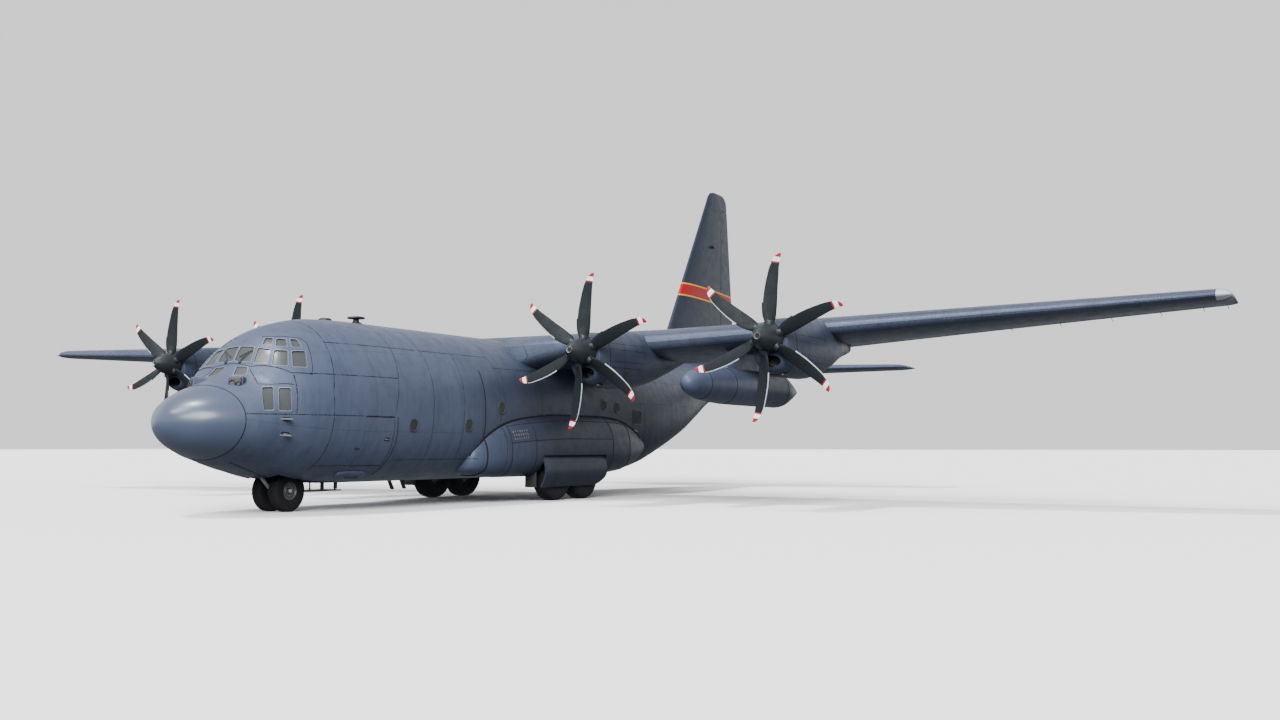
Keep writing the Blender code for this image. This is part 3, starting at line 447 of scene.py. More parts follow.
def paintMaterial(name, colour, layout, shade=1.0, band=None):
    # semi-gloss paint with broad fading, streaks along the airflow or down the sides,
    # panel joints and fine chips; it also paints shade: rib stripes and the sides under the wing on the
    # hull, a darker rear on the tank, and a darker copy where shade is below 1
    material, tree, shader = newMaterial(name, 0.42)
    place = placeOn(tree)
    parts = addNode(tree, "ShaderNodeSeparateXYZ", None, {"Vector": place})
    x, y, z = parts.outputs
    if layout == "hull":
        lift = maths(tree, "SUBTRACT", z, 1.30)
        angle = maths(tree, "ARCTAN2", x, lift)
        across = maths(tree, "MULTIPLY", angle, 0.954)
        flat = addNode(tree, "ShaderNodeCombineXYZ", None, {"X": y, "Y": across}).outputs[0]
        streakScale = (2.4, 5.0, 0.45)
    elif layout in ("fin", "tank"):
        flat = addNode(tree, "ShaderNodeCombineXYZ", None, {"X": y, "Y": z}).outputs[0]
        streakScale = (3.0, 3.0, 0.5)
    else:
        flat = addNode(tree, "ShaderNodeCombineXYZ", None, {"X": x, "Y": y}).outputs[0]
        streakScale = (5.0, 0.6, 2.0)
    width, height = paintLook["panel"]
    bricks = addNode(tree, "ShaderNodeTexBrick", {"offset": 0.35, "squash": 1.3,
                                                  "squash_frequency": 3}, {
        "Vector": flat, "Scale": 1.0, "Mortar Size": paintLook["panelLine"] / 4,
        "Mortar Smooth": 0.3, "Bias": 0.0, "Brick Width": width, "Row Height": height,
        "Color1": (0, 0, 0, 1), "Color2": (1, 1, 1, 1), "Mortar": (0.5, 0.5, 0.5, 1)})
    joint = maths(tree, "MULTIPLY", bricks.outputs["Fac"], 0.5 if layout == "hull" else 0.7)
    tint = bricks.outputs["Color"]
    broad = noise(tree, place, 0.55, 3.0)
    if layout == "hull":
        station = maths(tree, "MULTIPLY_ADD", y, 1 / halfSize)
        station.node.inputs[2].default_value = aeroplane["length"] / 2
        height = maths(tree, "MULTIPLY", z, 1 / halfSize)
        joint = maths(tree, "MAXIMUM", joint, hullJointMask(tree, station, height))
    edge = None
    if layout == "wing":
        behind = wingEdgeDistance(tree, x, y)
        for distance in (0.16, 0.62, 3.1):
            joint = maths(tree, "MAXIMUM", joint, nearLine(tree, behind, distance, 0.016))
        edge = ramp(tree, behind, 0.02, 0.30, 1.0, 0.0)
    if layout == "nacelle":
        station = maths(tree, "MULTIPLY_ADD", y, 1 / halfSize)
        station.node.inputs[2].default_value = aeroplane["length"] / 2
        for level in (9.62, 10.30, 11.35, 12.60):
            joint = maths(tree, "MAXIMUM", joint, nearLine(tree, station, level, 0.016))
        height = maths(tree, "MULTIPLY", z, 1 / halfSize)
        for level in (4.10, 3.62, 4.26, 3.78):
            joint = maths(tree, "MAXIMUM", joint, maths(
                tree, "MULTIPLY", nearLine(tree, height, level, 0.014),
                between(tree, station, 9.62, 11.35)))
    mottle = noise(tree, place, 7.0, 8.0, 0.62)
    streak = noise(tree, placeOn(tree, streakScale), 2.2, 6.0, 0.6)
    speck = noise(tree, place, 90.0, 3.0, 0.7)
    base = mixed(tree, ramp(tree, broad, 0.35, 0.68), colour, paintLook["pale"])
    base = mixed(tree, ramp(tree, tint, 0.0, 1.0, 0.0, 0.10), base, paintLook["pale"])
    base = mixed(tree, ramp(tree, mottle, 0.45, 0.75, 0.0, 0.30), base,
                 [part * 0.62 for part in colour])
    base = mixed(tree, ramp(tree, streak, 0.50, 0.78, 0.0, paintLook["grime"]), base,
                 [part * 0.50 for part in colour])
    # painted shade: the rib stripes darken the hull paint towards near-black
    if layout == "hull":
        base = mixed(tree, hullRibShadeMask(tree, station, broad), base, paintLook["sootAndShade"])
    worn = maths(tree, "MULTIPLY", joint, ramp(tree, mottle, 0.36, 0.52, 0.45, 1.0))
    base = mixed(tree, worn, base, paintLook["sootAndShade"])
    near = joint if edge is None else maths(tree, "MAXIMUM", joint, edge)
    chips = maths(tree, "MULTIPLY", near, ramp(tree, speck, 0.58, 0.63, 0.0, 0.9))
    base = mixed(tree, chips, base, paintLook["chip"])
    flake = noise(tree, place, 34.0, 4.0, 0.7)
    base = mixed(tree, ramp(tree, flake, 0.705, 0.73, 0.0, 0.55), base, paintLook["chip"])
    if layout == "hull":
        # painted shade: the sides darken from station 7.6 aft, most below a height of 3.3, standing in
        # for the shade under and behind the wing
        underWingShade = maths(tree, "MULTIPLY", ramp(tree, station, 7.6, 11.6, 0.0, 0.77),
                       ramp(tree, height, 3.3, 4.3, 1.0, 0.3))
        base = mixed(tree, underWingShade, base, paintLook["sootAndShade"])
    if layout == "tank":
        # painted shade: the tank darkens towards its rear, which lies under the wing
        base = mixed(tree, ramp(tree, y, -1.2, 0.1, 0.0, 0.5), base, paintLook["sootAndShade"])
    # painted shade: a shade below 1 mixes this copy of the paint towards near-black, so that part comes
    # out darker than the hull under the same light
    if shade < 1:
        base = mixed(tree, 1 - shade, base, paintLook["sootAndShade"])
    if band:
        base = bandOver(tree, base, y, z, band, mottle)
    tree.links.new(base, shader.inputs["Base Color"])
    shader.inputs["Specular IOR Level"].default_value = paintLook["gloss"]
    shader.inputs["Specular Tint"].default_value = (*paintLook["sheenTint"], 1)
    low, high = paintLook["roughness"]
    tree.links.new(ramp(tree, mottle, 0.3, 0.7, low, high), shader.inputs["Roughness"])
    relief = maths(tree, "SUBTRACT", maths(tree, "MULTIPLY", broad, 0.6),
                   maths(tree, "MULTIPLY", joint, 0.5))
    relief = maths(tree, "ADD", relief, maths(tree, "MULTIPLY", speck, 0.02))
    bump(tree, shader, relief, 0.35, 0.004)
    return material


def bandOver(tree, base, y, z, band, mottle):
    # a red band with yellow edges that slopes down towards the rear
    level = maths(tree, "SUBTRACT", z, maths(tree, "MULTIPLY", y, band["slope"]))
    inner = maths(tree, "MULTIPLY", maths(tree, "GREATER_THAN", level, band["low"]),
                  maths(tree, "LESS_THAN", level, band["high"]))
    edge = band["edge"]
    outer = maths(tree, "MULTIPLY", maths(tree, "GREATER_THAN", level, band["low"] - edge),
                  maths(tree, "LESS_THAN", level, band["high"] + edge))
    wear = ramp(tree, mottle, 0.55, 0.78, 1.0, 0.86)
    base = mixed(tree, maths(tree, "MULTIPLY", outer, wear), base, band["yellow"])
    return mixed(tree, maths(tree, "MULTIPLY", inner, wear), base, band["red"])


def plainMaterial(name, colour, roughness, metallic=0.0, scale=14.0, contrast=0.25, relief=0.15,
                  gloss=0.5):
    # one colour with fine mottling, worn unevenly
    material, tree, shader = newMaterial(name, roughness, metallic)
    shader.inputs["Specular IOR Level"].default_value = gloss
    place = placeOn(tree)
    mottle = noise(tree, place, scale, 7.0, 0.6)
    fine = noise(tree, place, scale * 9, 3.0, 0.6)
    base = mixed(tree, ramp(tree, mottle, 0.35, 0.70, 0.0, contrast), colour,
                 [part * 0.45 for part in colour])
    base = mixed(tree, ramp(tree, fine, 0.58, 0.72, 0.0, contrast * 0.5), base,
                 [min(1, part * 1.5 + 0.02) for part in colour])
    tree.links.new(base, shader.inputs["Base Color"])
    tree.links.new(ramp(tree, mottle, 0.3, 0.7, max(0.05, roughness - 0.08), roughness + 0.12),
                   shader.inputs["Roughness"])
    bump(tree, shader, fine, relief, 0.001)
    return material


finBand = {"slope": -0.03, "low": 3.84, "high": 4.05, "edge": 0.028,
           "red": (0.26, 0.001, 0.004), "yellow": (0.50, 0.27, 0.012)}
hullPaint = paintMaterial("hullPaint", paintLook["blueGrey"], "hull")
# painted shade: the wing, nacelles, tailplane and fin take darker copies of the hull paint through their
# shade factors
wingPaint = paintMaterial("wingPaint", paintLook["blueGrey"], "wing", 0.74)
nacellePaint = paintMaterial("nacellePaint", paintLook["blueGrey"], "nacelle", 0.52)
tailPaint = paintMaterial("tailPaint", paintLook["blueGrey"], "tail", 0.8)
tankPaint = paintMaterial("tankPaint", paintLook["blueGrey"], "tank")
finPaint = paintMaterial("finPaint", paintLook["blueGrey"], "fin", 0.22, finBand)
radomePaint = plainMaterial("radomePaint", (0.053, 0.069, 0.111), 0.32, 0.0, 1.1, 0.12, 0.0)
bladeComposite = plainMaterial("bladeComposite", (0.0095, 0.0125, 0.0150), 0.60, 0.0, 9.0, 0.4, 0.2, 0.15)
spinnerMetal = plainMaterial("spinnerMetal", (0.014, 0.018, 0.021), 0.45, 0.0, 11.0, 0.4, 0.1, 0.35)
tipRed = plainMaterial("tipRed", (0.26, 0.004, 0.012), 0.45)
tipWhite = plainMaterial("tipWhite", (0.78, 0.78, 0.78), 0.42, 0.0, 20.0, 0.15)
bladeStrip = plainMaterial("bladeStrip", (0.42, 0.46, 0.48), 0.40, 0.0, 16.0, 0.6)
bareMetal = plainMaterial("bareMetal", (0.42, 0.43, 0.45), 0.35, 0.85, 18.0, 0.3)
# openingShade is near-black painted shade for the insides of openings: intakes, wheel wells, the
# spinner's hole and the exhaust mouths
openingShade = plainMaterial("openingShade", (0.006, 0.006, 0.007), 0.8, 0.0, 10.0, 0.3)
tyreRubber = plainMaterial("tyreRubber", (0.010, 0.010, 0.011), 0.82, 0.0, 24.0, 0.5, 0.5, 0.25)
wheelGrey = plainMaterial("wheelGrey", (0.10, 0.105, 0.11), 0.5, 0.4, 20.0, 0.5)
gearWhite = plainMaterial("gearWhite", (0.32, 0.34, 0.37), 0.42, 0.1, 18.0, 0.4)
chromeRod = plainMaterial("chromeRod", (0.65, 0.66, 0.68), 0.16, 1.0, 30.0, 0.1, 0.05)
engineMetal = plainMaterial("engineMetal", (0.16, 0.15, 0.145), 0.55, 0.7, 14.0, 0.5, 0.4)
paneGlass = plainMaterial("paneGlass", (0.048, 0.053, 0.057), 0.25, 0.0, 3.0, 0.25, 0.02)
frameGrey = plainMaterial("frameGrey", (0.17, 0.20, 0.25), 0.55, 0.0, 30.0, 0.5)
frameDull = plainMaterial("frameDull", (0.030, 0.036, 0.048), 0.5, 0.0, 24.0, 0.4)
paneDull = plainMaterial("paneDull", (0.034, 0.037, 0.040), 0.55, 0.0, 6.0, 0.25, 0.02, 0.12)
lensGlass = plainMaterial("lensGlass", (0.010, 0.010, 0.016), 0.30, 0.0, 6.0, 0.2, 0.01, 0.3)
lampPale = plainMaterial("lampPale", (0.42, 0.46, 0.50), 0.15, 0.0, 6.0, 0.3, 0.02)
beaconRed = plainMaterial("beaconRed", (0.35, 0.015, 0.010), 0.15, 0.0, 6.0, 0.3, 0.02)
# dark joints, and also the painted shade along the sponson's crease
seamDarkAndCreaseShade = plainMaterial("seamDarkAndCreaseShade", (0.006, 0.007, 0.010), 0.7, 0.0, 16.0, 0.5, 0.3, 0.2)
# black fittings, and also the near-black painted shade put on slots, vents, grilles and recesses
blackFittingAndRecessShade = plainMaterial("blackFittingAndRecessShade", (0.012, 0.013, 0.015), 0.5, 0.0, 20.0, 0.4)
interiorGreen = plainMaterial("interiorGreen", (0.10, 0.115, 0.105), 0.6, 0.0, 12.0, 0.4)
deckGrey = plainMaterial("deckGrey", (0.075, 0.08, 0.08), 0.62, 0.0, 16.0, 0.5, 0.4)
print("materials made")


# Hull: station, half width, top, bottom, height of the widest point, power of the lower half
hull = {
    "rows": [
        (0.00, 0.00, 2.10, 2.10, 2.10, 2.0), (0.04, 0.25, 2.29, 1.91, 2.10, 2.0),
        (0.16, 0.51, 2.44, 1.73, 2.10, 2.0), (0.40, 0.87, 2.63, 1.53, 2.11, 2.0),
        (0.80, 1.22, 2.83, 1.34, 2.12, 2.0), (1.20, 1.46, 2.98, 1.20, 2.14, 2.0),
        (1.60, 1.63, 3.14, 1.08, 2.18, 2.0), (1.84, 1.72, 3.32, 1.01, 2.22, 2.0),
        (2.12, 1.82, 3.82, 0.94, 2.28, 2.0), (2.50, 1.95, 4.18, 0.85, 2.35, 2.1),
        (3.20, 2.07, 4.49, 0.73, 2.44, 2.3), (4.20, 2.14, 4.68, 0.66, 2.52, 2.6),
        (5.40, 2.16, 4.72, 0.65, 2.56, 2.8), (17.30, 2.16, 4.72, 0.65, 2.56, 2.8),
        (18.20, 2.15, 4.72, 0.78, 2.58, 3.0), (19.80, 2.06, 4.73, 1.28, 2.72, 3.2),
        (21.40, 1.86, 4.74, 1.80, 2.95, 3.2), (23.20, 1.48, 4.76, 2.40, 3.30, 3.0),
        (24.90, 1.08, 4.79, 2.98, 3.70, 3.0), (26.50, 0.78, 4.80, 3.40, 3.95, 2.6),
        (28.00, 0.52, 4.74, 3.72, 4.10, 2.3), (29.20, 0.30, 4.62, 3.94, 4.22, 2.0),
        (29.79, 0.06, 4.40, 4.20, 4.30, 2.0)],
    "radomeEnd": 1.05, "cockpitEnd": 5.40, "centreEnd": 18.20, "tailStart": 24.90,
    "wall": 0.10, "sides": 96, "noseStep": 0.10, "longStep": 0.45,
}
hullCurve = [(math.sqrt(row[0]), *row[1:]) for row in hull["rows"]]
hullRows = {}


def hullRow(station):
    key = round(station, 5)
    if key not in hullRows:
        hullRows[key] = smoothRow(hullCurve, math.sqrt(max(0.0, station)))[1:]
    return hullRows[key]


def ovalPoint(angle, half, top, bottom, middle, upper, lower):
    across, up = math.cos(angle), math.sin(angle)
    power = 2 / (upper if up > 0 else lower)
    reach = top - middle if up > 0 else middle - bottom
    return (math.copysign(abs(across) ** power, across) * half,
            middle + math.copysign(abs(up) ** power, up) * reach)


def hullPoint(angle, station, grow=0.0):
    half, top, bottom, middle, lower = hullRow(station)
    x, z = ovalPoint(angle, max(0.0, half + grow), max(middle, top + grow),
                     min(middle, bottom - grow), middle, 2.0, lower)
    return spot(x, station, z)


def hullSide(station, height, grow=0.0):
    # half width of the skin at a station and a height
    half, top, bottom, middle, lower = hullRow(station)
    if height > middle:
        share, power = (height - middle) / (top + grow - middle), 2.0
    else:
        share, power = (middle - height) / (middle - bottom + grow), lower
    return (half + grow) * max(0.0, 1 - min(1.0, share) ** power) ** (1 / power)


def hullHeight(station, x, grow=0.0, below=False):
    half, top, bottom, middle, lower = hullRow(station)
    share = min(1.0, abs(x) / (half + grow))
    if below:
        return middle - (middle - bottom + grow) * (1 - share ** lower) ** (1 / lower)
    return middle + (top + grow - middle) * math.sqrt(1 - share ** 2)


def skinPoint(x, station, height, grow=0.0):
    # the point of the skin straight out from the middle of the hull through a place
    half, top, bottom, middle, lower = hullRow(station)
    power = 2.0 if height > middle else lower
    reach = (top - middle if height > middle else middle - bottom) + grow
    share = ((abs(x) / (half + grow)) ** power
             + (abs(height - middle) / reach) ** power) ** (1 / power)
    return x / share, station, middle + (height - middle) / share


def setOnSkin(piece, x, station, height, grow=0.0, turn=0.0):
    # moves a piece from the origin to the skin: its Z points outward and its X aft
    here = spot(*skinPoint(x, station, height, grow))
    aft = (spot(*skinPoint(x, station + 0.1, height, grow)) - here).normalized()
    higher = spot(*skinPoint(x, station, height + 0.1, grow)) - here
    outward = aft.cross(higher).normalized()
    across = outward.cross(aft)
    frame4 = Matrix((aft, across, outward)).transposed().to_4x4()
    piece.data.transform(Matrix.Translation(here) @ frame4
                         @ Matrix.Rotation(math.radians(turn), 4, "Z"))
    return piece


def lathe(name, outline, sides=32, ring=False):
    # rings of radius and height about Z at the origin, in the aeroplane's metres
    rows = outline + outline[:1] if ring else outline
    return stackedRings(name, [[Vector((radius * math.cos(math.tau * i / sides),
                                        radius * math.sin(math.tau * i / sides),
                                        height)) * halfSize for i in range(sides)]
                               for radius, height in rows], not ring)


def roundedOutline(width, height, radius, steps=5):
    outline = []
    for index, (x, y) in enumerate(((1, 1), (-1, 1), (-1, -1), (1, -1))):
        for step in range(steps):
            angle = math.radians(90 * index + 90 * step / (steps - 1))
            outline.append((x * (width / 2 - radius) + radius * math.cos(angle),
                            y * (height / 2 - radius) + radius * math.sin(angle)))
    return outline


def plateFrom(name, outline, low, high, crown=0.0):
    # a plate at the origin between two heights; its upper edge is drawn in by the crown
    rings = [[Vector((x, y, low)) * halfSize for x, y in outline],
             [Vector((x, y, high - crown)) * halfSize for x, y in outline]]
    if crown:
        widest = max(abs(x) for x, _ in outline)
        shrink = 1 - crown / widest
        rings.append([Vector((x * shrink, y * shrink, high)) * halfSize for x, y in outline])
    return stackedRings(name, rings)


def stationsBetween(start, end):
    stations = [start]
    while stations[-1] < end - 1e-6:
        here = stations[-1]
        step = 0.02 + here * 0.12 if here < 0.8 else hull["noseStep"] if here < 5.4 else hull["longStep"]
        stations.append(min(end, here + step))
    if len(stations) > 2 and stations[-1] - stations[-2] < 0.03:
        stations.pop(-2)
    return stations


def hullAngles():
    sides = hull["sides"]
    return [math.tau * (i + 0.5) / sides for i in range(sides)]


def hullShell(name, start, end, outer=0.0, inner=None):
    inner = -hull["wall"] if inner is None else inner
    stations = stationsBetween(start, end)
    path = ([(station, outer) for station in stations]
            + [(station, inner) for station in stations[::-1]] + [(start, outer)])
    angles = hullAngles()
    return rolledSkin(name, len(angles), len(path) - 1,
                      lambda step, row: hullPoint(angles[step], *path[row]), False)


def hullSolid(name, start, end, grow=0.0):
    stations = stationsBetween(start, end)
    angles = hullAngles()
    return rolledSkin(name, len(angles), len(stations) - 1,
                      lambda step, row: hullPoint(angles[step], stations[row], grow))


# Flight deck windows on the port side: corners from the upper front one, clockwise seen from port
windows = {
    "eye": (0.0, 3.30, 3.10), "rounding": 0.045, "frame": 0.018, "reach": (0.74, 1.24),
    "panes": [
        [(0.025, 2.16, 3.87), (0.45, 2.17, 3.84), (0.54, 1.97, 3.49), (0.025, 1.96, 3.52)],
        [(0.55, 2.18, 3.82), (0.87, 2.25, 3.77), (1.00, 2.03, 3.42), (0.63, 1.97, 3.46)],
        [(0.96, 2.27, 3.76), (1.21, 2.44, 3.75), (1.42, 2.24, 3.38), (1.12, 2.05, 3.39)],
        [(1.27, 2.50, 3.74), (1.43, 2.77, 3.75), (1.67, 2.59, 3.36), (1.49, 2.31, 3.36)],
        [(0.51, 2.43, 4.07), (0.69, 2.50, 4.06), (0.83, 2.32, 3.87), (0.60, 2.26, 3.89)],
        [(0.77, 2.52, 4.05), (0.94, 2.65, 4.04), (1.13, 2.50, 3.84), (0.92, 2.35, 3.85)],
        [(1.00, 2.71, 4.04), (1.11, 2.83, 4.04), (1.33, 2.77, 3.84), (1.20, 2.58, 3.84)],
        [(0.17, 1.89, 3.38), (0.51, 1.91, 3.37), (0.62, 1.75, 3.17), (0.28, 1.69, 3.18)],
        [(1.20, 1.68, 2.88), (1.37, 1.85, 2.89), (1.62, 1.63, 2.36), (1.53, 1.43, 2.35)],
        [(1.47, 1.91, 2.87), (1.66, 2.09, 2.87), (1.78, 2.01, 2.35), (1.67, 1.74, 2.35)]],
}


def windowRing(corners, margin):
    middle = sum(corners, Vector()) / 4
    grown = [corner + (corner - middle).normalized() * margin for corner in corners]
    ring = []
    for index, corner in enumerate(grown):
        start = corner + (grown[index - 1] - corner).normalized() * windows["rounding"] * halfSize
        after = grown[(index + 1) % 4]
        end = corner + (after - corner).normalized() * windows["rounding"] * halfSize
        for step in range(5):
            share = step / 4
            ring.append(start.lerp(corner, share).lerp(corner.lerp(end, share), share))
    return ring


def windowBlocks(name, margin=0.0):
    # every window as a block along the sight lines from the pilots' eyes
    eye = spot(*windows["eye"])
    blocks = []
    for corners in windows["panes"]:
        for side in (1, -1):
            ring = windowRing([spot(side * x, s, z) for x, s, z in corners], margin * halfSize)
            blocks.append(stackedRings(name, [[eye + (point - eye) * reach for point in ring]
                                              for reach in windows["reach"]]))
    return blocks


crewDoor = {"front": 4.10, "rear": 5.12, "low": 1.08, "high": 2.26, "play": 0.014}
paraDoor = {"front": 16.85, "rear": 17.75, "low": 1.06, "high": 2.92, "play": 0.006}
noseBay = {"half": 0.74, "front": 2.70, "rear": 4.55, "ceiling": 1.75}
tailRamp = {"half": 1.40, "rear": 21.40, "lean": 0.20, "thick": 0.22, "doorHalf": 0.70,
         "headroom": 0.5, "play": 0.014, "floor": 1.04}


def doorBlock(name, door, side, margin=0.0):
    return blockPiece(name, (side * 1.0, door["front"] + margin, door["low"] + margin),
                      (side * 3.0, door["rear"] - margin, door["high"] - margin))


def rampTop(station):
    end = hullRow(tailRamp["rear"])[2] + tailRamp["thick"]
    share = (station - hull["centreEnd"]) / (tailRamp["rear"] - hull["centreEnd"])
    return tailRamp["floor"] + (end - tailRamp["floor"]) * share


def bellyBlock(name, stations, grow=0.0, headroom=0.0):
    taper = (tailRamp["half"] - tailRamp["doorHalf"]) / (hull["tailStart"] - tailRamp["rear"])
    rings = []
    for station in stations:
        half = tailRamp["half"] - taper * max(0.0, station - tailRamp["rear"]) + grow
        top = rampTop(station) + headroom
        rings.append([spot(-half, station, -1.0), spot(half, station, -1.0),
                      spot(half, station, top), spot(-half, station, top)])
    return stackedRings(name, rings)


def partingBlock(name, shift, end):
    top, slope = rampTop(tailRamp["rear"]), tailRamp["lean"] / tailRamp["thick"]
    rings = []
    for x in (-3, 3):
        rings.append([spot(x, station, z) for station, z in (
            (tailRamp["rear"] + shift - slope, top + 1.0), (tailRamp["rear"] + shift + slope, top - 1.0),
            (end, top - 1.0), (end, top + 1.0))])
    return stackedRings(name, rings)


def makeHull():
    radome = hullSolid("radomeSkin", 0.0, hull["radomeEnd"])
    cockpit = hullShell("cockpitSkin", hull["radomeEnd"], hull["cockpitEnd"])
    cutWith(cockpit, joinPieces("windowCuts", windowBlocks("windowCut")))
    cutWith(cockpit, doorBlock("crewDoorway", crewDoor, 1))
    cutWith(cockpit, blockPiece("noseBayWay", (-noseBay["half"], noseBay["front"], 0.0),
                                (noseBay["half"], noseBay["rear"], 1.3)))
    centre = hullShell("centreSkin", hull["cockpitEnd"], hull["centreEnd"])
    for side in (1, -1):
        cutWith(centre, doorBlock("paraDoorway", paraDoor, side))
    aft = hullShell("aftSkin", hull["centreEnd"], hull["tailStart"], 0.0, -0.07)
    cutWith(aft, bellyBlock("bellyWay", (hull["centreEnd"] - 0.5, tailRamp["rear"],
                                         hull["tailStart"] + 0.5), tailRamp["play"],
                            tailRamp["headroom"]))
    tail = hullSolid("tailSkin", hull["tailStart"], aeroplane["length"])
    for piece, node, slotName, material in (
            (radome, "radome", "radome_grey", radomePaint),
            (cockpit, "cockpit_section", "hull_paint", hullPaint),
            (centre, "centre_fuselage", "hull_paint", hullPaint),
            (aft, "aft_fuselage", "hull_paint", hullPaint),
            (tail, "tail_cone", "hull_paint", hullPaint)):
        dress(piece, material, interiorGreen)
        paintInside(piece)
        smoothEdges(piece)
        keepPiece(piece, "airframe", slotName, node)
    print("hull skins made")


def paintInside(piece):
    # faces that look towards the middle of the hull take the second material
    for face in piece.data.polygons:
        station = face.center.y / halfSize + aeroplane["length"] / 2
        middle = Vector((0, face.center.y, hullRow(station)[3] * halfSize))
        outward = face.center - middle
        outward.y = 0
        if outward.length > 0.05 and face.normal.dot(outward.normalized()) < -0.3:
            face.material_index = 1


def makeGlazing():
    wide = joinPieces("paneLimits", windowBlocks("paneLimit", 0.018))
    panes = hullShell("windowPanes", 1.15, 3.30, -0.030, -0.055)
    cutWith(panes, wide, "INTERSECT")
    dress(panes, paneGlass)
    smoothEdges(panes)
    keepPiece(panes, "airframe", "window_glass", "cockpit_glazing")
    frames = hullShell("windowFrames", 1.15, 3.30, 0.007, -0.034)
    cutWith(frames, joinPieces("frameLimits", windowBlocks("frameLimit", windows["frame"])),
            "INTERSECT")
    for hole in windowBlocks("frameHole"):
        cutWith(frames, hole)
    dress(frames, frameGrey)
    smoothEdges(frames)
    keepPiece(frames, "airframe", "hull_paint")
    print("flight deck windows made")


def makeDoors():
    door = hullShell("crewDoorSkin", 4.0, 5.2)
    cutWith(door, doorBlock("crewDoorLimit", crewDoor, 1, crewDoor["play"]), "INTERSECT")
    dress(door, hullPaint, interiorGreen)
    paintInside(door)
    smoothEdges(door)
    keepPiece(door, "crew_door", "hull_paint", "crew_door")
    for side, hand in ((1, "left"), (-1, "right")):
        panel = hullShell(f"paraDoor{hand.title()}", 16.6, 18.0)
        cutWith(panel, doorBlock("paraLimit", paraDoor, side, paraDoor["play"]), "INTERSECT")
        dress(panel, hullPaint, interiorGreen)
        paintInside(panel)
        smoothEdges(panel)
        keepPiece(panel, "airframe", "hull_paint", f"paratroop_door_{hand}")
    outline = hullSolid("rampOutline", hull["centreEnd"], hull["tailStart"] - 0.0006)
    rampPiece = bellyBlock("rampDoor", (hull["centreEnd"], tailRamp["rear"], tailRamp["rear"] + 0.4))
    cutWith(rampPiece, outline, "INTERSECT", keepTool=True)
    cutWith(rampPiece, partingBlock("rampEnd", -tailRamp["play"], hull["tailStart"]))
    cargoDoor = bellyBlock("cargoDoor", (tailRamp["rear"] - 0.4, tailRamp["rear"],
                                         hull["tailStart"] - 0.0006))
    cutWith(cargoDoor, outline, "INTERSECT")
    cutWith(cargoDoor, partingBlock("cargoDoorFront", tailRamp["play"], hull["centreEnd"]))
    for piece, node in ((rampPiece, "ramp"), (cargoDoor, "cargo_door")):
        dress(piece, hullPaint, deckGrey)
        for face in piece.data.polygons:
            face.material_index = 1 if face.normal.z > 0.5 else 0
        smoothEdges(piece)
        keepPiece(piece, node, "hull_paint", node)
    print("doors and ramp made")


# Propellers: distance aft of the propeller plane and radius; blade rows are radius, chord,
# thickness, pitch and the place of the mid chord against the rotation
propellers = {
    "hubs": [("port outer", 10.28, 4.16), ("port inner", 5.05, 4.02),
             ("starboard inner", -5.05, 4.02), ("starboard outer", -10.28, 4.16)],
    "station": 9.02, "blades": 6, "firstBlade": 79.7,
    "spinner": [(-0.56, 0.0), (-0.56, 0.055), (-0.585, 0.062), (-0.600, 0.075), (-0.592, 0.095),
                (-0.565, 0.110), (-0.52, 0.150), (-0.44, 0.205), (-0.34, 0.255), (-0.22, 0.300),
                (-0.08, 0.336), (0.04, 0.356), (0.17, 0.366), (0.18, 0.352), (0.18, 0.0)],
    "rows": [(0.26, 0.20, 0.160, 40.0, 0.00), (0.36, 0.22, 0.130, 38.0, -0.005),
             (0.50, 0.33, 0.085, 33.0, -0.025), (0.80, 0.37, 0.055, 25.0, -0.070),
             (1.25, 0.33, 0.035, 17.0, -0.105), (1.65, 0.26, 0.024, 12.0, -0.110),
             (1.90, 0.18, 0.017, 9.5, -0.075), (2.00, 0.125, 0.013, 8.5, -0.040),
             (2.045, 0.070, 0.010, 8.0, -0.012), (2.0575, 0.012, 0.005, 8.0, 0.005)],
    "bands": (1.805, 1.845, 1.955), "strip": (0.80, 2.02), "sides": 24,
}


def makeBlade():
    rows = propellers["rows"]
    low, mid, high = propellers["bands"]
    radii = [0.26, 0.30, 0.36, 0.43, 0.50, 0.60, 0.70, 0.82, 0.95, 1.08, 1.21, 1.34, 1.47, 1.60,
             1.71, low, mid, 1.90, high, 1.99, 2.02, 2.04, 2.052, 2.0575]
    sides = propellers["sides"]

    def bladePoint(step, row):
        radius, chord, thick, pitch, shift = smoothRow(rows, radii[row])
        angle = math.tau * step / sides
        along = -0.5 * math.cos(angle) * chord
        front = 0.46 * math.sin(angle) * thick * (1.12 + 0.12 * math.cos(angle))
        lean = math.radians(pitch)
        return Vector((shift + along * math.cos(lean) + front * math.sin(lean),
                       along * math.sin(lean) - front * math.cos(lean), radius)) * halfSize

    blade = rolledSkin("blade", sides, len(radii) - 1, bladePoint)
    dress(blade, bladeComposite, tipRed, tipWhite, bladeStrip, spinnerMetal, bareMetal, openingShade)
    for face in blade.data.polygons:
        radius = face.center.z / halfSize
        _, chord, _, pitch, shift = smoothRow(rows, radius)
        along = (face.center.x / halfSize - shift) / math.cos(math.radians(pitch)) / chord
        if radius > high or low < radius < mid:
            face.material_index = 1
        elif radius > mid:
            face.material_index = 2
        elif along < -0.42 and radius > propellers["strip"][0]:
            face.material_index = 3
    return blade


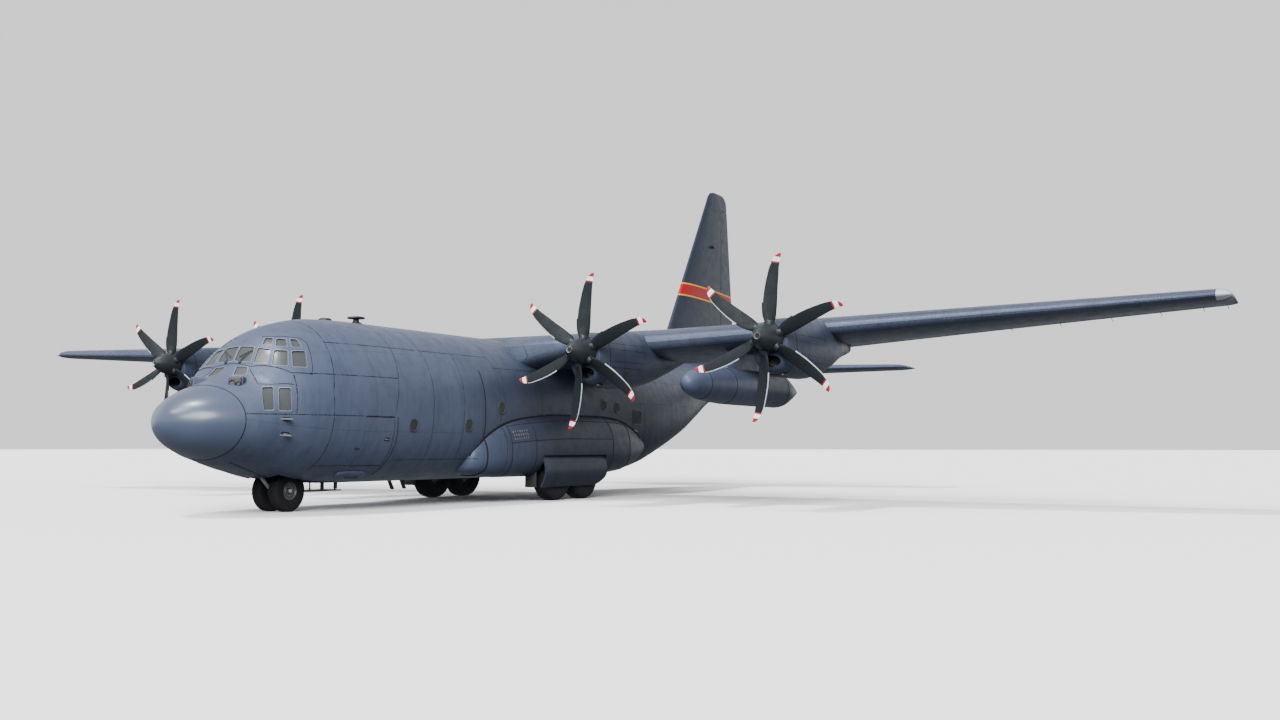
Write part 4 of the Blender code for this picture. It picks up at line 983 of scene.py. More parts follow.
def makePropellers():
    parts = []
    blade = makeBlade()
    for number in range(propellers["blades"]):
        angle = math.radians(90 - propellers["firstBlade"] - number * 360 / propellers["blades"])
        turned = copyPiece(blade, "turnedBlade")
        turned.data.transform(Matrix.Rotation(angle, 4, "Y"))
        cuff = rodPiece("bladeCuff", (0, 0, 0.30), (0, 0, 0.43), 0.118, 0.095, 24, 0.012)
        cuff.data.transform(Matrix.Translation(-spot(0, 0, 0)))
        cuff.data.transform(Matrix.Rotation(angle, 4, "Y"))
        dress(cuff, *blade.data.materials)
        for face in cuff.data.polygons:
            face.material_index = 4
        parts += [turned, cuff]
    bpy.data.objects.remove(blade, do_unlink=True)
    spinner = turnedPiece("spinner", propellers["spinner"], (0, 0, 0), "Y", 48)
    spinner.data.transform(Matrix.Translation(-spot(0, 0, 0)))
    dress(spinner, *parts[0].data.materials)
    for face in spinner.data.polygons:
        radius = math.hypot(face.center.x, face.center.z) / halfSize
        ahead = face.center.y / halfSize < -0.3
        face.material_index = 4
        # painted shade: a near-black disc stands for the hole in the spinner's front
        if ahead and radius < 0.045:
            face.material_index = 6
        elif ahead and radius < 0.078:
            face.material_index = 5
    whole = joinPieces("propellerPattern", parts + [spinner])
    smoothEdges(whole, 40)
    for number, (place, x, height) in enumerate(propellers["hubs"], 1):
        name = "propeller" + place.title().replace(" ", "")
        piece = copyPiece(whole, name)
        piece.data.transform(Matrix.Translation(spot(x, propellers["station"], height)))
        keepPiece(piece, f"propeller_{number}", "blade_composite", f"propeller_{number}")
    bpy.data.objects.remove(whole, do_unlink=True)
    print("propellers made")


# Nacelles: station, half width, top and bottom against the hub line
nacelle = {
    "rows": [(9.215, 0.425, 0.405, -0.60), (9.225, 0.445, 0.420, -0.68),
             (9.26, 0.462, 0.436, -0.765), (9.34, 0.482, 0.455, -0.810),
             (9.50, 0.520, 0.490, -0.86), (10.10, 0.580, 0.570, -0.92),
             (11.00, 0.610, 0.660, -0.91)],
    "tails": {"inner": [(11.90, 0.600, 0.700, -0.80), (13.20, 0.500, 0.500, -0.46),
                        (14.00, 0.370, 0.360, -0.21), (14.36, 0.30, 0.29, -0.10),
                        (14.40, 0.27, 0.26, -0.08)],
              "outer": [(11.90, 0.590, 0.700, -0.76), (12.60, 0.52, 0.60, -0.56),
                        (13.20, 0.40, 0.500, -0.36), (14.00, 0.215, 0.360, -0.16),
                        (14.36, 0.14, 0.29, -0.09), (14.40, 0.12, 0.26, -0.07)]},
    "sides": 64, "mouth": (0.275, -0.705, -0.415), "mouthDepth": 0.75,
}


def nacellePoint(angle, station, x, hub, grow=0.0):
    rows = nacelle["rows"] + nacelle["tails"]["outer" if abs(x) > 8 else "inner"]
    _, half, top, bottom = smoothRow(rows, station)
    across, up = ovalPoint(angle, half + grow, top + grow, bottom - grow, (top + bottom) / 2, 2.3, 2.3)
    return spot(x + across, station, hub + up)


def nacelleSpot(degrees, station, x, hub, grow=0.0):
    place = nacellePoint(math.radians(degrees), station, x, hub, grow)
    return place.x / halfSize, station, place.z / halfSize


def makeNacelle(name, node, x, hub):
    rows = nacelle["rows"] + nacelle["tails"]["outer" if abs(x) > 8 else "inner"]
    stations = [row[0] for row in rows[:5]]
    while stations[-1] < rows[-2][0] - 0.2:
        stations.append(stations[-1] + 0.22)
    stations += [rows[-2][0], rows[-1][0]]
    angles = [math.tau * (i + 0.5) / nacelle["sides"] for i in range(nacelle["sides"])]
    cowl = rolledSkin(name, len(angles), len(stations) - 1,
                      lambda step, row: nacellePoint(angles[step], stations[row], x, hub))
    half, low, high = nacelle["mouth"]
    front = rows[0][0]
    rings = []
    for station, shrink in ((front - 0.1, -0.03), (front + 0.02, 0.0), (front + 0.1, 0.02),
                            (front + nacelle["mouthDepth"], 0.06)):
        rings.append([spot(x + (half - shrink) * math.cos(angle), station,
                           hub + (low + high) / 2 + ((high - low) / 2 - shrink * 0.5) * math.sin(angle))
                      for angle in (math.tau * i / 32 for i in range(32))])
    cutWith(cowl, stackedRings("mouthCut", rings))
    cutWith(cowl, rodPiece("shaftWay", (x, front - 0.1, hub), (x, front + 0.3, hub), 0.17))
    dress(cowl, nacellePaint, openingShade, bareMetal)
    # painted shade: the faces inside the intake and its back wall take the near-black opening colour
    for face in cowl.data.polygons:
        place = face.center
        inMouth = (abs(place.x / halfSize - x) < half + 0.01
                   and place.z / halfSize - hub < high + 0.01)
        station = place.y / halfSize + aeroplane["length"] / 2
        if inMouth and front + 0.03 < station < front + nacelle["mouthDepth"] + 0.02:
            outward = (place - spot(x, station, hub + (low + high) / 2))
            if face.normal.dot(outward) < 0 or station > front + nacelle["mouthDepth"] - 0.02:
                face.material_index = 1
    smoothEdges(cowl, 40)
    keepPiece(cowl, "airframe", "hull_paint", node)
    return cowl


def makeNacelles():
    for side, hand in ((1, "left"), (-1, "right")):
        for place, x, hub in (("inner", 5.05, 4.02), ("outer", 10.28, 4.16)):
            makeNacelle(f"nacelle{place.title()}{hand.title()}", f"nacelle_{place}_{hand}",
                        side * x, hub)
    print("nacelles made")


# Sponsons: station, outer reach, top, bottom
sponson = {
    "rows": [(8.42, 1.74, 1.32, 1.00), (8.45, 1.90, 1.45, 0.93), (8.52, 2.03, 1.61, 0.87),
             (8.66, 2.13, 1.79, 0.82), (8.83, 2.21, 1.93, 0.78), (9.10, 2.30, 2.10, 0.74),
             (9.90, 2.47, 2.33, 0.70), (11.00, 2.60, 2.44, 0.70), (12.40, 2.64, 2.52, 0.70),
             (14.60, 2.64, 2.52, 0.70), (15.90, 2.54, 2.46, 0.76), (16.90, 2.34, 2.26, 0.94),
             (17.70, 2.12, 1.90, 1.26)],
    "inner": 0.95, "sides": 72, "wellX": (1.62, 2.50), "well": (11.05, 14.45), "wellTop": 1.72,
    "doorTop": 1.30,
}


def sponsonPoint(angle, station):
    _, reach, top, bottom = smoothRow(sponson["rows"], station)
    half = (reach - sponson["inner"]) / 2
    x, z = ovalPoint(angle, half, top, bottom, bottom + (top - bottom) * 0.45, 2.3, 2.6)
    return spot(sponson["inner"] + half + x, station, z)


def sponsonSpot(degrees, station):
    # the same place in metres at full size
    place = sponsonPoint(math.radians(degrees), station)
    return place.x / halfSize, station, place.z / halfSize


def makeSponsons():
    start, end = sponson["rows"][0][0], sponson["rows"][-1][0]
    stations = [start, 8.43, 8.45, 8.48, 8.52, 8.58, 8.66, 8.75, 8.84, 8.96]
    while stations[-1] < end - 0.2:
        stations.append(stations[-1] + 0.2)
    stations.append(end)
    angles = [math.tau * (i + 0.5) / sponson["sides"] for i in range(sponson["sides"])]
    fairing = rolledSkin("sponsonLeft", len(angles), len(stations) - 1,
                         lambda step, row: sponsonPoint(angles[step], stations[row]))
    near, far = sponson["wellX"]
    first, last = sponson["well"]
    cutWith(fairing, blockPiece("wheelWell", (near, first, -0.5), (far, last, sponson["wellTop"])))
    cutWith(fairing, blockPiece("doorGap", (2.3, first, -0.5), (3.2, last, sponson["doorTop"])))
    cutWith(fairing, hullSolid("hullKeepOut", 8.0, 18.4, -0.03))
    dress(fairing, hullPaint, openingShade)
    # painted shade: the faces inside the wheel well take the near-black opening colour
    for face in fairing.data.polygons:
        place = face.center / halfSize
        station = place.y + aeroplane["length"] / 2
        if (near - 0.01 < place.x < far + 0.01 and first - 0.01 < station < last + 0.01
                and 0.71 < place.z < sponson["wellTop"] + 0.01):
            face.material_index = 1
    smoothEdges(fairing)
    twin = mirroredCopy(fairing, "sponsonRight")
    keepPiece(fairing, "airframe", "hull_paint", "sponson_left")
    keepPiece(twin, "airframe", "hull_paint", "sponson_right")
    print("sponsons made")


# Wheels: radius and half width of a section through one tyre, then the wheel inside it
wheels = {
    "mainRadius": 0.71, "mainWidth": 0.50, "mainX": 2.175, "mainStations": (12.08, 13.60),
    "noseRadius": 0.495, "noseWidth": 0.29, "noseX": 0.265, "noseStation": 3.45, "steps": 72,
}


def wheelOutline(radius, width, hub):
    # half of the outline from the bore to the tread, as (along, radius)
    half = width / 2
    tread = []
    for groove in (0.62, 0.36, 0.12):
        place = half * groove
        drop = radius * (1 - 0.035 * (place / half) ** 2)
        tread += [(place + 0.012, drop), (place + 0.008, drop - 0.012),
                  (place - 0.008, drop - 0.012), (place - 0.012, drop)]
    return [(0.50 * half, 0.075), (0.50 * half, hub * 0.42), (0.62 * half, hub * 0.46),
            (0.66 * half, hub * 0.62), (0.50 * half, hub * 0.70), (0.46 * half, hub * 0.86),
            (0.70 * half, hub * 0.95), (0.80 * half, hub), (0.76 * half, hub * 1.05),
            (0.88 * half, hub * 1.12), (0.96 * half, hub + (radius - hub) * 0.36),
            (1.00 * half, hub + (radius - hub) * 0.55), (0.975 * half, hub + (radius - hub) * 0.72),
            (0.90 * half, radius * 0.93), (0.78 * half, radius * 0.968)] + tread


def makeWheel(name, centre, radius, width, hub):
    half = wheelOutline(radius, width, hub)
    outline = half + [(-along, reach) for along, reach in half[::-1]]
    wheel = turnedPiece(name, outline, centre, "X", wheels["steps"])
    dress(wheel, tyreRubber, wheelGrey, bareMetal)
    middle = spot(*centre)
    for face in wheel.data.polygons:
        away = face.center - middle
        reach = math.hypot(away.y, away.z) / halfSize
        face.material_index = 0 if reach > hub * 1.03 else 1
    return wheel


def makeWheels():
    radius, width = wheels["mainRadius"], wheels["mainWidth"]
    for side, hand in ((1, "left"), (-1, "right")):
        for station, place in zip(wheels["mainStations"], ("front", "rear")):
            wheel = makeWheel(f"mainWheel{place.title()}{hand.title()}",
                              (side * wheels["mainX"], station, radius), radius, width, 0.30)
            smoothEdges(wheel, 34)
            body = f"main_wheel_{place}_{hand}"
            keepPiece(wheel, body, "tyre_black", body)
    radius, width = wheels["noseRadius"], wheels["noseWidth"]
    station = wheels["noseStation"]
    pair = [makeWheel("noseWheel", (side * wheels["noseX"], station, radius), radius, width, 0.21)
            for side in (1, -1)]
    axle = rodPiece("noseAxle", (-0.40, station, radius), (0.40, station, radius), 0.055, None, 28, 0.01)
    dress(axle, tyreRubber, wheelGrey, bareMetal)
    for face in axle.data.polygons:
        face.material_index = 2
    whole = joinPieces("noseWheels", pair + [axle])
    smoothEdges(whole, 34)
    keepPiece(whole, "nose_wheels", "tyre_black", "nose_wheels")
    print("wheels made")


# Wing: span, leading edge, chord, thickness, incidence, height of the chord line a quarter back
wing = {
    "rows": [(0.0, 11.62, 4.88, 0.878, 3.0, 4.35), (5.588, 11.62, 4.88, 0.878, 3.0, 4.35),
             (19.90, 12.18, 2.63, 0.316, 0.30, 4.98), (20.00, 12.19, 2.61, 0.295, 0.15, 4.983),
             (20.08, 12.22, 2.54, 0.245, 0.05, 4.986), (20.14, 12.26, 2.43, 0.180, 0.0, 4.988),
             (20.18, 12.32, 2.29, 0.115, 0.0, 4.99), (20.205, 12.41, 2.09, 0.050, 0.0, 4.99)],
    "camber": 0.02, "points": 22, "break": 5.588, "flapFront": 0.78,
    "flaps": [("inner", 2.32, 5.50), ("outer", 5.72, 13.05)],
    "aileron": (13.20, 19.70), "aileronHinge": 0.76, "play": 0.014, "endPlay": 0.016,
    "nosePlay": 0.020, "noseShare": 0.97, "lens": (19.74, 0.13),
    "wicks": [14.6, 15.9, 17.2, 18.4, 19.4, 19.95],
}
# Fin: height, leading edge, trailing edge, thickness; the tailplane by span in the same way
tail = {
    "fin": [(4.40, 22.55, 29.25, 0.62), (5.10, 22.95, 29.25, 0.60), (6.00, 23.45, 29.22, 0.55),
            (11.30, 26.72, 28.64, 0.22), (11.55, 26.86, 28.60, 0.19), (11.70, 26.98, 28.50, 0.15),
            (11.79, 27.12, 28.36, 0.10), (11.84, 27.35, 28.15, 0.04)],
    "rudder": [(5.20, 27.66), (11.20, 28.02)], "rudderRibs": (5.20, 6.00, 7.40, 9.20, 11.20),
    "plane": [(0.0, 25.25, 29.25, 0.48), (7.60, 26.75, 28.72, 0.22), (7.80, 26.86, 28.68, 0.19),
              (7.92, 26.98, 28.58, 0.14), (7.99, 27.10, 28.48, 0.09), (8.025, 27.25, 28.35, 0.04)],
    "height": 4.50, "elevatorRibs": (0.95, 2.40, 4.20, 6.00, 7.50), "elevatorHinge": 28.10,
}


def foilHalf(aft, thick):
    return 5 * thick * (0.2969 * math.sqrt(aft) - 0.1260 * aft - 0.3516 * aft ** 2
                        + 0.2843 * aft ** 3 - 0.1010 * aft ** 4)


def foilLoop(chord, thick, camber=0.0):
    # round an aerofoil as (aft, up): trailing edge, over the top, and back below
    over, under = [], []
    for i in range(wing["points"] + 1):
        aft = 0.5 * (1 + math.cos(math.pi * i / wing["points"]))
        half = foilHalf(aft, thick)
        bow = camber * 4 * aft * (1 - aft) * chord
        over.append((aft * chord, bow + half))
        under.append((aft * chord, bow - half))
    return over + under[-2::-1]


def wingPlace(span, share, up=0.0):
    _, front, chord, _, incidence, height = straightRow(wing["rows"], abs(span))
    tilt = math.radians(incidence)
    aft = share * chord
    return (span, front + aft * math.cos(tilt) + up * math.sin(tilt),
            height - (aft - chord / 4) * math.sin(tilt) + up * math.cos(tilt))


def spansBetween(start, end, count, rows):
    spans = [start + (end - start) * i / count for i in range(count + 1)]
    spans += [row[0] for row in rows if start < row[0] < end]
    return sorted(set(round(span, 4) for span in spans))


def wingSkin(name, start, end, count):
    rings = []
    for span in spansBetween(start, end, count, wing["rows"]):
        _, _, chord, thick, _, _ = straightRow(wing["rows"], abs(span))
        rings.append([spot(*wingPlace(span, aft / chord, up))
                      for aft, up in foilLoop(chord, thick, wing["camber"])])
    return stackedRings(name, rings)


def flatPocket(name, start, end, forward=0.0):
    # all that lies behind the flap's front line
    rings = []
    for span in (start, end):
        x, station, height = wingPlace(span, wing["flapFront"])
        station -= forward
        rings.append([spot(x, station + aft, height + up)
                      for aft, up in ((0, -1), (3, -1), (3, 1), (0, 1))])
    return stackedRings(name, rings)


def roundPocket(name, ends, grow, upright=False):
    # all that lies behind a hinge line, with a round nose about it
    lap = 0.0 if grow else math.asin(0.15)
    rings = []
    for (x, station, height), radius in ends:
        reach = radius + grow
        edge = reach * math.sin(lap)
        outline = [(4.0, -2.0), (4.0, 2.0), (edge, 2.0)]
        for step in range(15):
            angle = -lap + (math.pi + 2 * lap) * step / 14
            outline.append((-reach * math.sin(angle), reach * math.cos(angle)))
        outline.append((edge, -2.0))
        rings.append([spot(x + up, station + aft, height) if upright
                      else spot(x, station + aft, height + up) for aft, up in outline])
    return stackedRings(name, rings)


def aileronEnds():
    ends = []
    for span in wing["aileron"]:
        _, _, chord, thick, _, _ = straightRow(wing["rows"], span)
        share = wing["aileronHinge"]
        x, station, height = wingPlace(span, share)
        bow = wing["camber"] * 4 * share * (1 - share) * chord
        ends.append(((x, station, height + bow), wing["noseShare"] * foilHalf(share, thick)))
    return ends


def keepSurface(piece, name, node, body="airframe"):
    piece.name = name
    piece.data.name = name
    smoothEdges(piece, 30)
    return keepPiece(piece, body, "hull_paint", node)


def makeWings():
    root = wing["break"]
    play = wing["play"]
    centre = wingSkin("wingCentre", -root, root, 14)
    port = wingSkin("wingLeft", root, 20.205, 22)
    for place, start, end in wing["flaps"]:
        if place == "inner":
            cutWith(centre, flatPocket("pocket", start, end))
            cutWith(centre, flatPocket("pocket", -start, -end))
        else:
            cutWith(port, flatPocket("pocket", start, end))
        flap = wingSkin("flap", start + play, end - play, 8)
        cutWith(flap, flatPocket("flapLimit", start, end, -0.004), "INTERSECT")
        dress(flap, wingPaint)
        twin = mirroredCopy(flap, "flapTwin")
        keepSurface(flap, f"flap{place.title()}Left", f"flap_{place}_left", f"flap_{place}_left")
        keepSurface(twin, f"flap{place.title()}Right", f"flap_{place}_right",
                    f"flap_{place}_right")
    ends = aileronEnds()
    cutWith(port, roundPocket("pocket", ends, wing["nosePlay"]))
    start, end = wing["aileron"]
    aileron = wingSkin("aileron", start + wing["endPlay"], end - wing["endPlay"], 8)
    cutWith(aileron, roundPocket("aileronLimit", ends, 0.0), "INTERSECT")
    dress(aileron, wingPaint)
    twin = mirroredCopy(aileron, "aileronTwin")
    keepSurface(aileron, "aileronLeft", "aileron_left", "aileron_left")
    keepSurface(twin, "aileronRight", "aileron_right", "aileron_right")
    dress(centre, wingPaint)
    dress(port, wingPaint, lampPale)
    span, share = wing["lens"]
    for face in port.data.polygons:
        place = face.center / halfSize
        _, front, chord, _, _, _ = straightRow(wing["rows"], place.x)
        aft = (place.y + aeroplane["length"] / 2 - front) / chord
        if place.x > span and aft < share:
            face.material_index = 1
    keepSurface(centre, "wingCentre", "wing_centre")
    twin = mirroredCopy(port, "wingTwin")
    keepSurface(port, "wingLeft", "wing_left")
    keepSurface(twin, "wingRight", "wing_right")
    for number, span in enumerate(wing["wicks"], 1):
        x, station, height = wingPlace(span, 0.995)
        x2, station2, height2 = wingPlace(span, 1.0)
        body = "aileron_" if span < 19.6 else "airframe"
        wick = rodPiece(f"wingWick{number}", (x, station - 0.04, height),
                        (x2, station2 + 0.22, height2 - 0.07), 0.010, 0.006, 8)
        fitTwo(wick, blackFittingAndRecessShade, "hull_paint", body)
    print("wings made")


def fitTwo(piece, material, slotName, body):
    # a pair of pieces that ride on a left and a right body
    twin = mirroredCopy(piece, piece.name + "Right")
    split = body.endswith("_")
    fit(piece, material, slotName, body + "left" if split else body)
    fit(twin, material, slotName, body + "right" if split else body)


def finSkin(name, start, end, count):
    rings = []
    for height in spansBetween(start, end, count, tail["fin"]):
        _, front, rear, thick = straightRow(tail["fin"], height)
        rings.append([spot(up, front + aft, height) for aft, up in foilLoop(rear - front, thick)])
    return stackedRings(name, rings)


def planeSkin(name, start, end, count):
    rings = []
    for span in spansBetween(start, end, count, tail["plane"]
                             + [(-row[0], *row[1:]) for row in tail["plane"]]):
        _, front, rear, thick = straightRow(tail["plane"], abs(span))
        rings.append([spot(span, front + aft, tail["height"] + up)
                      for aft, up in foilLoop(rear - front, thick)])
    return stackedRings(name, rings)


def makeTail():
    (low, first), (high, last) = tail["rudder"]
    ends = []
    for height in tail["rudderRibs"]:
        station = first + (last - first) * (height - low) / (high - low)
        _, front, rear, thick = straightRow(tail["fin"], height)
        ends.append(((0, station, height),
                     wing["noseShare"] * foilHalf((station - front) / (rear - front), thick)))
    fin = finSkin("fin", 4.40, 11.84, 12)
    cutWith(fin, roundPocket("rudderPocket", ends, wing["nosePlay"], True))
    rudder = finSkin("rudder", low + wing["play"], high - wing["endPlay"], 8)
    cutWith(rudder, roundPocket("rudderLimit", ends, 0.0, True), "INTERSECT")
    keepSurface(dress(fin, finPaint), "fin", "fin")
    keepSurface(dress(rudder, finPaint), "rudder", "rudder", "rudder")
    plane = planeSkin("tailplane", -8.025, 8.025, 20)
    hinge = tail["elevatorHinge"]
    ends = []
    for span in tail["elevatorRibs"]:
        _, front, rear, thick = straightRow(tail["plane"], span)
        ends.append(((span, hinge, tail["height"]),
                     wing["noseShare"] * foilHalf((hinge - front) / (rear - front), thick)))
    starboard = [((-x, station, height), radius) for (x, station, height), radius in ends]
    cutWith(plane, roundPocket("elevatorPocket", ends, wing["nosePlay"]))
    cutWith(plane, roundPocket("elevatorPocket", starboard, wing["nosePlay"]))
    elevator = planeSkin("elevator", ends[0][0][0] + wing["play"], ends[-1][0][0] - wing["play"], 8)
    cutWith(elevator, roundPocket("elevatorLimit", ends, 0.0), "INTERSECT")
    dress(elevator, tailPaint)
    twin = mirroredCopy(elevator, "elevatorTwin")
    keepSurface(dress(plane, tailPaint), "tailplane", "tailplane")
    keepSurface(elevator, "elevatorLeft", "elevator_left", "elevators")
    keepSurface(twin, "elevatorRight", "elevator_right", "elevators")
    for number, span in enumerate((2.4, 4.2, 6.0, 7.2), 1):
        _, _, rear, _ = straightRow(tail["plane"], span)
        wick = rodPiece(f"tailWick{number}", (span, rear - 0.04, tail["height"]),
                        (span, rear + 0.20, tail["height"] - 0.02), 0.010, 0.006, 8)
        fitTwo(wick, blackFittingAndRecessShade, "hull_paint", "elevators")
    lamp = plateFrom("finLamp", bladeOutline(0.30, 0.12), -0.03, 0.09, 0.01)
    lamp.data.transform(Matrix.Translation(spot(0.17, 26.95, 9.55))
                        @ Matrix.Rotation(math.radians(90), 4, "Y"))
    fit(lamp, blackFittingAndRecessShade)
    print("tail made")


# Tanks under the wing: distance aft of the middle and radius
tank = {
    "outline": [(-3.75, 0.0), (-3.74, 0.06), (-3.71, 0.125), (-3.65, 0.185), (-3.55, 0.245),
                (-3.38, 0.315), (-3.15, 0.365), (-2.80, 0.42), (-2.40, 0.458), (-1.80, 0.485),
                (-1.10, 0.50), (0.40, 0.503), (1.85, 0.50), (2.10, 0.492), (2.30, 0.462),
                (3.00, 0.26), (3.66, 0.045), (3.73, 0.020), (3.75, 0.0)],
    "x": 7.70, "height": 3.18, "middle": 13.50, "seams": (-2.95, -1.62, 1.95),
    "pylon": [(12.20, 0.0), (12.28, 0.035), (12.42, 0.068), (12.60, 0.088), (13.0, 0.095),
              (14.0, 0.093), (14.4, 0.085), (14.8, 0.048), (15.10, 0.0)],
}


def makeTanks():
    x, height, middle = tank["x"], tank["height"], tank["middle"]
    body = turnedPiece("tankBody", tank["outline"], (x, middle, height), "Y", 48)
    side = [spot(x + half, station, 0) for station, half in tank["pylon"]]
    side += [spot(x - half, station, 0) for station, half in tank["pylon"][-2:0:-1]]
    rings = []
    for level, shift in ((height + 0.42, 0.16), (height + 0.62, 0.05), (4.05, 0.0), (4.45, 0.0)):
        rings.append([Vector((place.x, place.y + (shift if i in (0, 1, 2) or i > 13 else 0) * halfSize,
                              level * halfSize)) for i, place in enumerate(side)])
    pylon = stackedRings("tankPylon", rings)
    seams = []
    for number, aft in enumerate(tank["seams"], 1):
        _, radius = straightRow(tank["outline"], aft)
        section = [(aft - 0.012, radius - 0.01), (aft - 0.008, radius + 0.006),
                   (aft + 0.008, radius + 0.006), (aft + 0.012, radius - 0.01)]
        seams.append(turnedPiece("tankSeam", section, (x, middle, height), "Y", 48))
    cap = turnedPiece("tankFiller", [(-0.02, 0.0), (-0.02, 0.10), (0.012, 0.10), (0.016, 0.085),
                                     (0.016, 0.0)], (x, 0, 0), "X", 24)
    cap.data.transform(Matrix.Translation(spot(x, middle - 0.9, height + 0.49))
                       @ Matrix.Rotation(math.radians(-90), 4, "Y")
                       @ Matrix.Translation(-spot(x, 0, 0)))
    whole = joinPieces("dropTankLeft", [body, pylon])
    dress(whole, tankPaint)
    twin = mirroredCopy(whole, "dropTankRight")
    keepSurface(whole, "dropTankLeft", "drop_tank_left")
    keepSurface(twin, "dropTankRight", "drop_tank_right")
    fitPair(joinPieces("tankSeams", seams), seamDarkAndCreaseShade)
    fitPair(cap, frameDull)
    print("tanks made")


def dressNodes():
    # CAD nodes whose shape stays get their finish here
    finishes = [
        (engineMetal, [f"engine_{place}_{hand}" for place in ("inner", "outer")
                       for hand in ("left", "right")]),
        (hullPaint, ["nose_gear_bay"]),
        (blackFittingAndRecessShade, ["nose_gear_door"]),
        (gearWhite, ["main_gear_legs_left", "main_gear_legs_right", "nose_gear_strut",
                     "nose_gear_leg"]),
        (deckGrey, ["cargo_floor", "flight_deck"]),
    ]
    for material, names in finishes:
        for name in names:
            node = nodes[name]
            if not node.hide_render:
                dress(node, material)


# Fittings on the hull; places are on the port side, and pairs are mirrored
fittings = {
    "brow": [(0.0, 1.93, 3.45), (0.59, 1.92, 3.37), (1.10, 2.05, 3.28), (1.55, 2.23, 3.22),
             (1.79, 2.67, 3.20)],
    "cheek": [(0.60, 1.89, 3.31), (0.85, 1.78, 3.12), (1.07, 1.68, 2.95), (1.37, 1.90, 2.95),
              (1.68, 2.18, 2.95)],
    "chine": [(0.53, 1.42, 1.19), (0.49, 1.91, 1.04), (0.42, 2.42, 0.90), (0.40, 2.90, 0.80)],
    "canopy": [(0.40, 2.44, 4.10), (0.68, 2.56, 4.10), (1.12, 2.92, 4.07), (1.28, 2.96, 3.97),
               (1.59, 2.81, 3.60), (1.76, 2.67, 3.25)],
    "doorRear": [(2.15, 5.23, 2.27), (2.07, 5.26, 1.71), (1.86, 5.22, 1.27), (1.39, 5.19, 0.88)],
    "darkLine": [(1.90, 8.86, 3.60), (2.09, 8.84, 3.09), (2.16, 8.83, 2.66), (2.16, 8.84, 2.26),
                 (2.12, 8.83, 1.88), (2.06, 8.84, 1.62)],
    "roundWindows": [(5.85, 2.11), (8.12, 2.14), (9.60, 2.60), (15.09, 2.82), (15.89, 2.76)],
    "sensor": (0.69, 1.38, 2.95), "probes": [(1.74, 1.90, 2.16), (1.67, 1.94, 1.84)],
    "pegs": [4.94, 5.42], "blades": [7.45, 7.95], "bellyHalf": 0.0,
}


def fit(piece, material, slotName="hull_paint", body="airframe", degrees=32):
    dress(piece, material)
    smoothEdges(piece, degrees)
    return keepPiece(piece, body, slotName)


def fitPair(piece, material, slotName="hull_paint", body="airframe", degrees=32):
    twin = mirroredCopy(piece, piece.name + "Right")
    fit(piece, material, slotName, body, degrees)
    fit(twin, material, slotName, body, degrees)


def seamOnSkin(name, points, radius=0.010, sink=0.35):
    # a thin raised joint along the skin, through points near it
    route = []
    for start, end in zip(points, points[1:]):
        for step in range(6):
            share = step / 6
            place = [a + (b - a) * share for a, b in zip(start, end)]
            route.append(skinPoint(*place, -radius * sink))
    route.append(skinPoint(*points[-1], -radius * sink))
    return tubeAlong(name, route, radius, 6)


def makeSeams():
    for name, radius in (("brow", 0.011), ("cheek", 0.010), ("chine", 0.012), ("canopy", 0.009),
                         ("doorRear", 0.012), ("darkLine", 0.020)):
        fitPair(seamOnSkin(f"{name}Seam", fittings[name], radius), seamDarkAndCreaseShade)
    ring = [(math.cos(math.radians(angle)) * 1.5, hull["radomeEnd"],
             2.12 + math.sin(math.radians(angle)) * 1.0) for angle in range(-90, 91, 10)]
    fitPair(seamOnSkin("radomeSeam", ring, 0.011), seamDarkAndCreaseShade)


def turnAhead(piece):
    # from lying at the origin to facing ahead and a little outwards on the cheek
    x, station, height = fittings["sensor"]
    across = Vector((0.88, 0.47, 0.0)).normalized()
    up = Vector((-0.02, 0.10, 1.0)).normalized()
    out = across.cross(up)
    place = Matrix((across, up, out)).transposed().to_4x4()
    piece.data.transform(Matrix.Translation(spot(x, station, height)) @ place)
    return piece


def makeSensorBox():
    frame = plateFrom("sensorFrame", roundedOutline(0.34, 0.38, 0.06), -0.34, 0.025, 0.015)
    fitPair(turnAhead(frame), hullPaint)
    housing = plateFrom("sensorBox", roundedOutline(0.30, 0.31, 0.05), -0.10, 0.05, 0.02)
    fitPair(turnAhead(housing), blackFittingAndRecessShade)
    for name, shift in (("Front", -0.062), ("Rear", 0.082)):
        size = 1.0 if shift < 0 else 0.62
        ring = lathe(f"sensorRing{name}", [(0.062 * size, 0.03), (0.080 * size, 0.03),
                                           (0.082 * size, 0.066), (0.076 * size, 0.076),
                                           (0.066 * size, 0.072)], 28, True)
        eye = lathe(f"sensorLens{name}", [(0.0, 0.02), (0.064 * size, 0.02), (0.064 * size, 0.046),
                                          (0.0, 0.048)], 28)
        for piece, material, slotName in ((ring, spinnerMetal, "hull_paint"),
                                          (eye, lensGlass, "window_glass")):
            piece.data.transform(Matrix.Translation(Vector((shift, 0, 0)) * halfSize))
            fitPair(turnAhead(piece), material, slotName)


def makeProbes():
    for number, (x, station, height) in enumerate(fittings["probes"], 1):
        foot = plateFrom(f"probeFoot{number}", roundedOutline(0.20, 0.08, 0.035), -0.03, 0.014, 0.006)
        fitPair(setOnSkin(foot, x, station, height), seamDarkAndCreaseShade)
        blade = plateFrom(f"probeBlade{number}", roundedOutline(0.13, 0.030, 0.012), -0.02, 0.13, 0.004)
        fitPair(setOnSkin(blade, x, station, height), bareMetal)
        tube = lathe(f"probeTube{number}", [(0.0, 0.0), (0.010, 0.0), (0.015, 0.03), (0.020, 0.16),
                                            (0.019, 0.28), (0.0, 0.30)], 16)
        tube.data.transform(Matrix.Translation(Vector((-0.20, 0, 0.13)) * halfSize)
                            @ Matrix.Rotation(math.radians(90), 4, "Y"))
        fitPair(setOnSkin(tube, x, station, height), bareMetal)


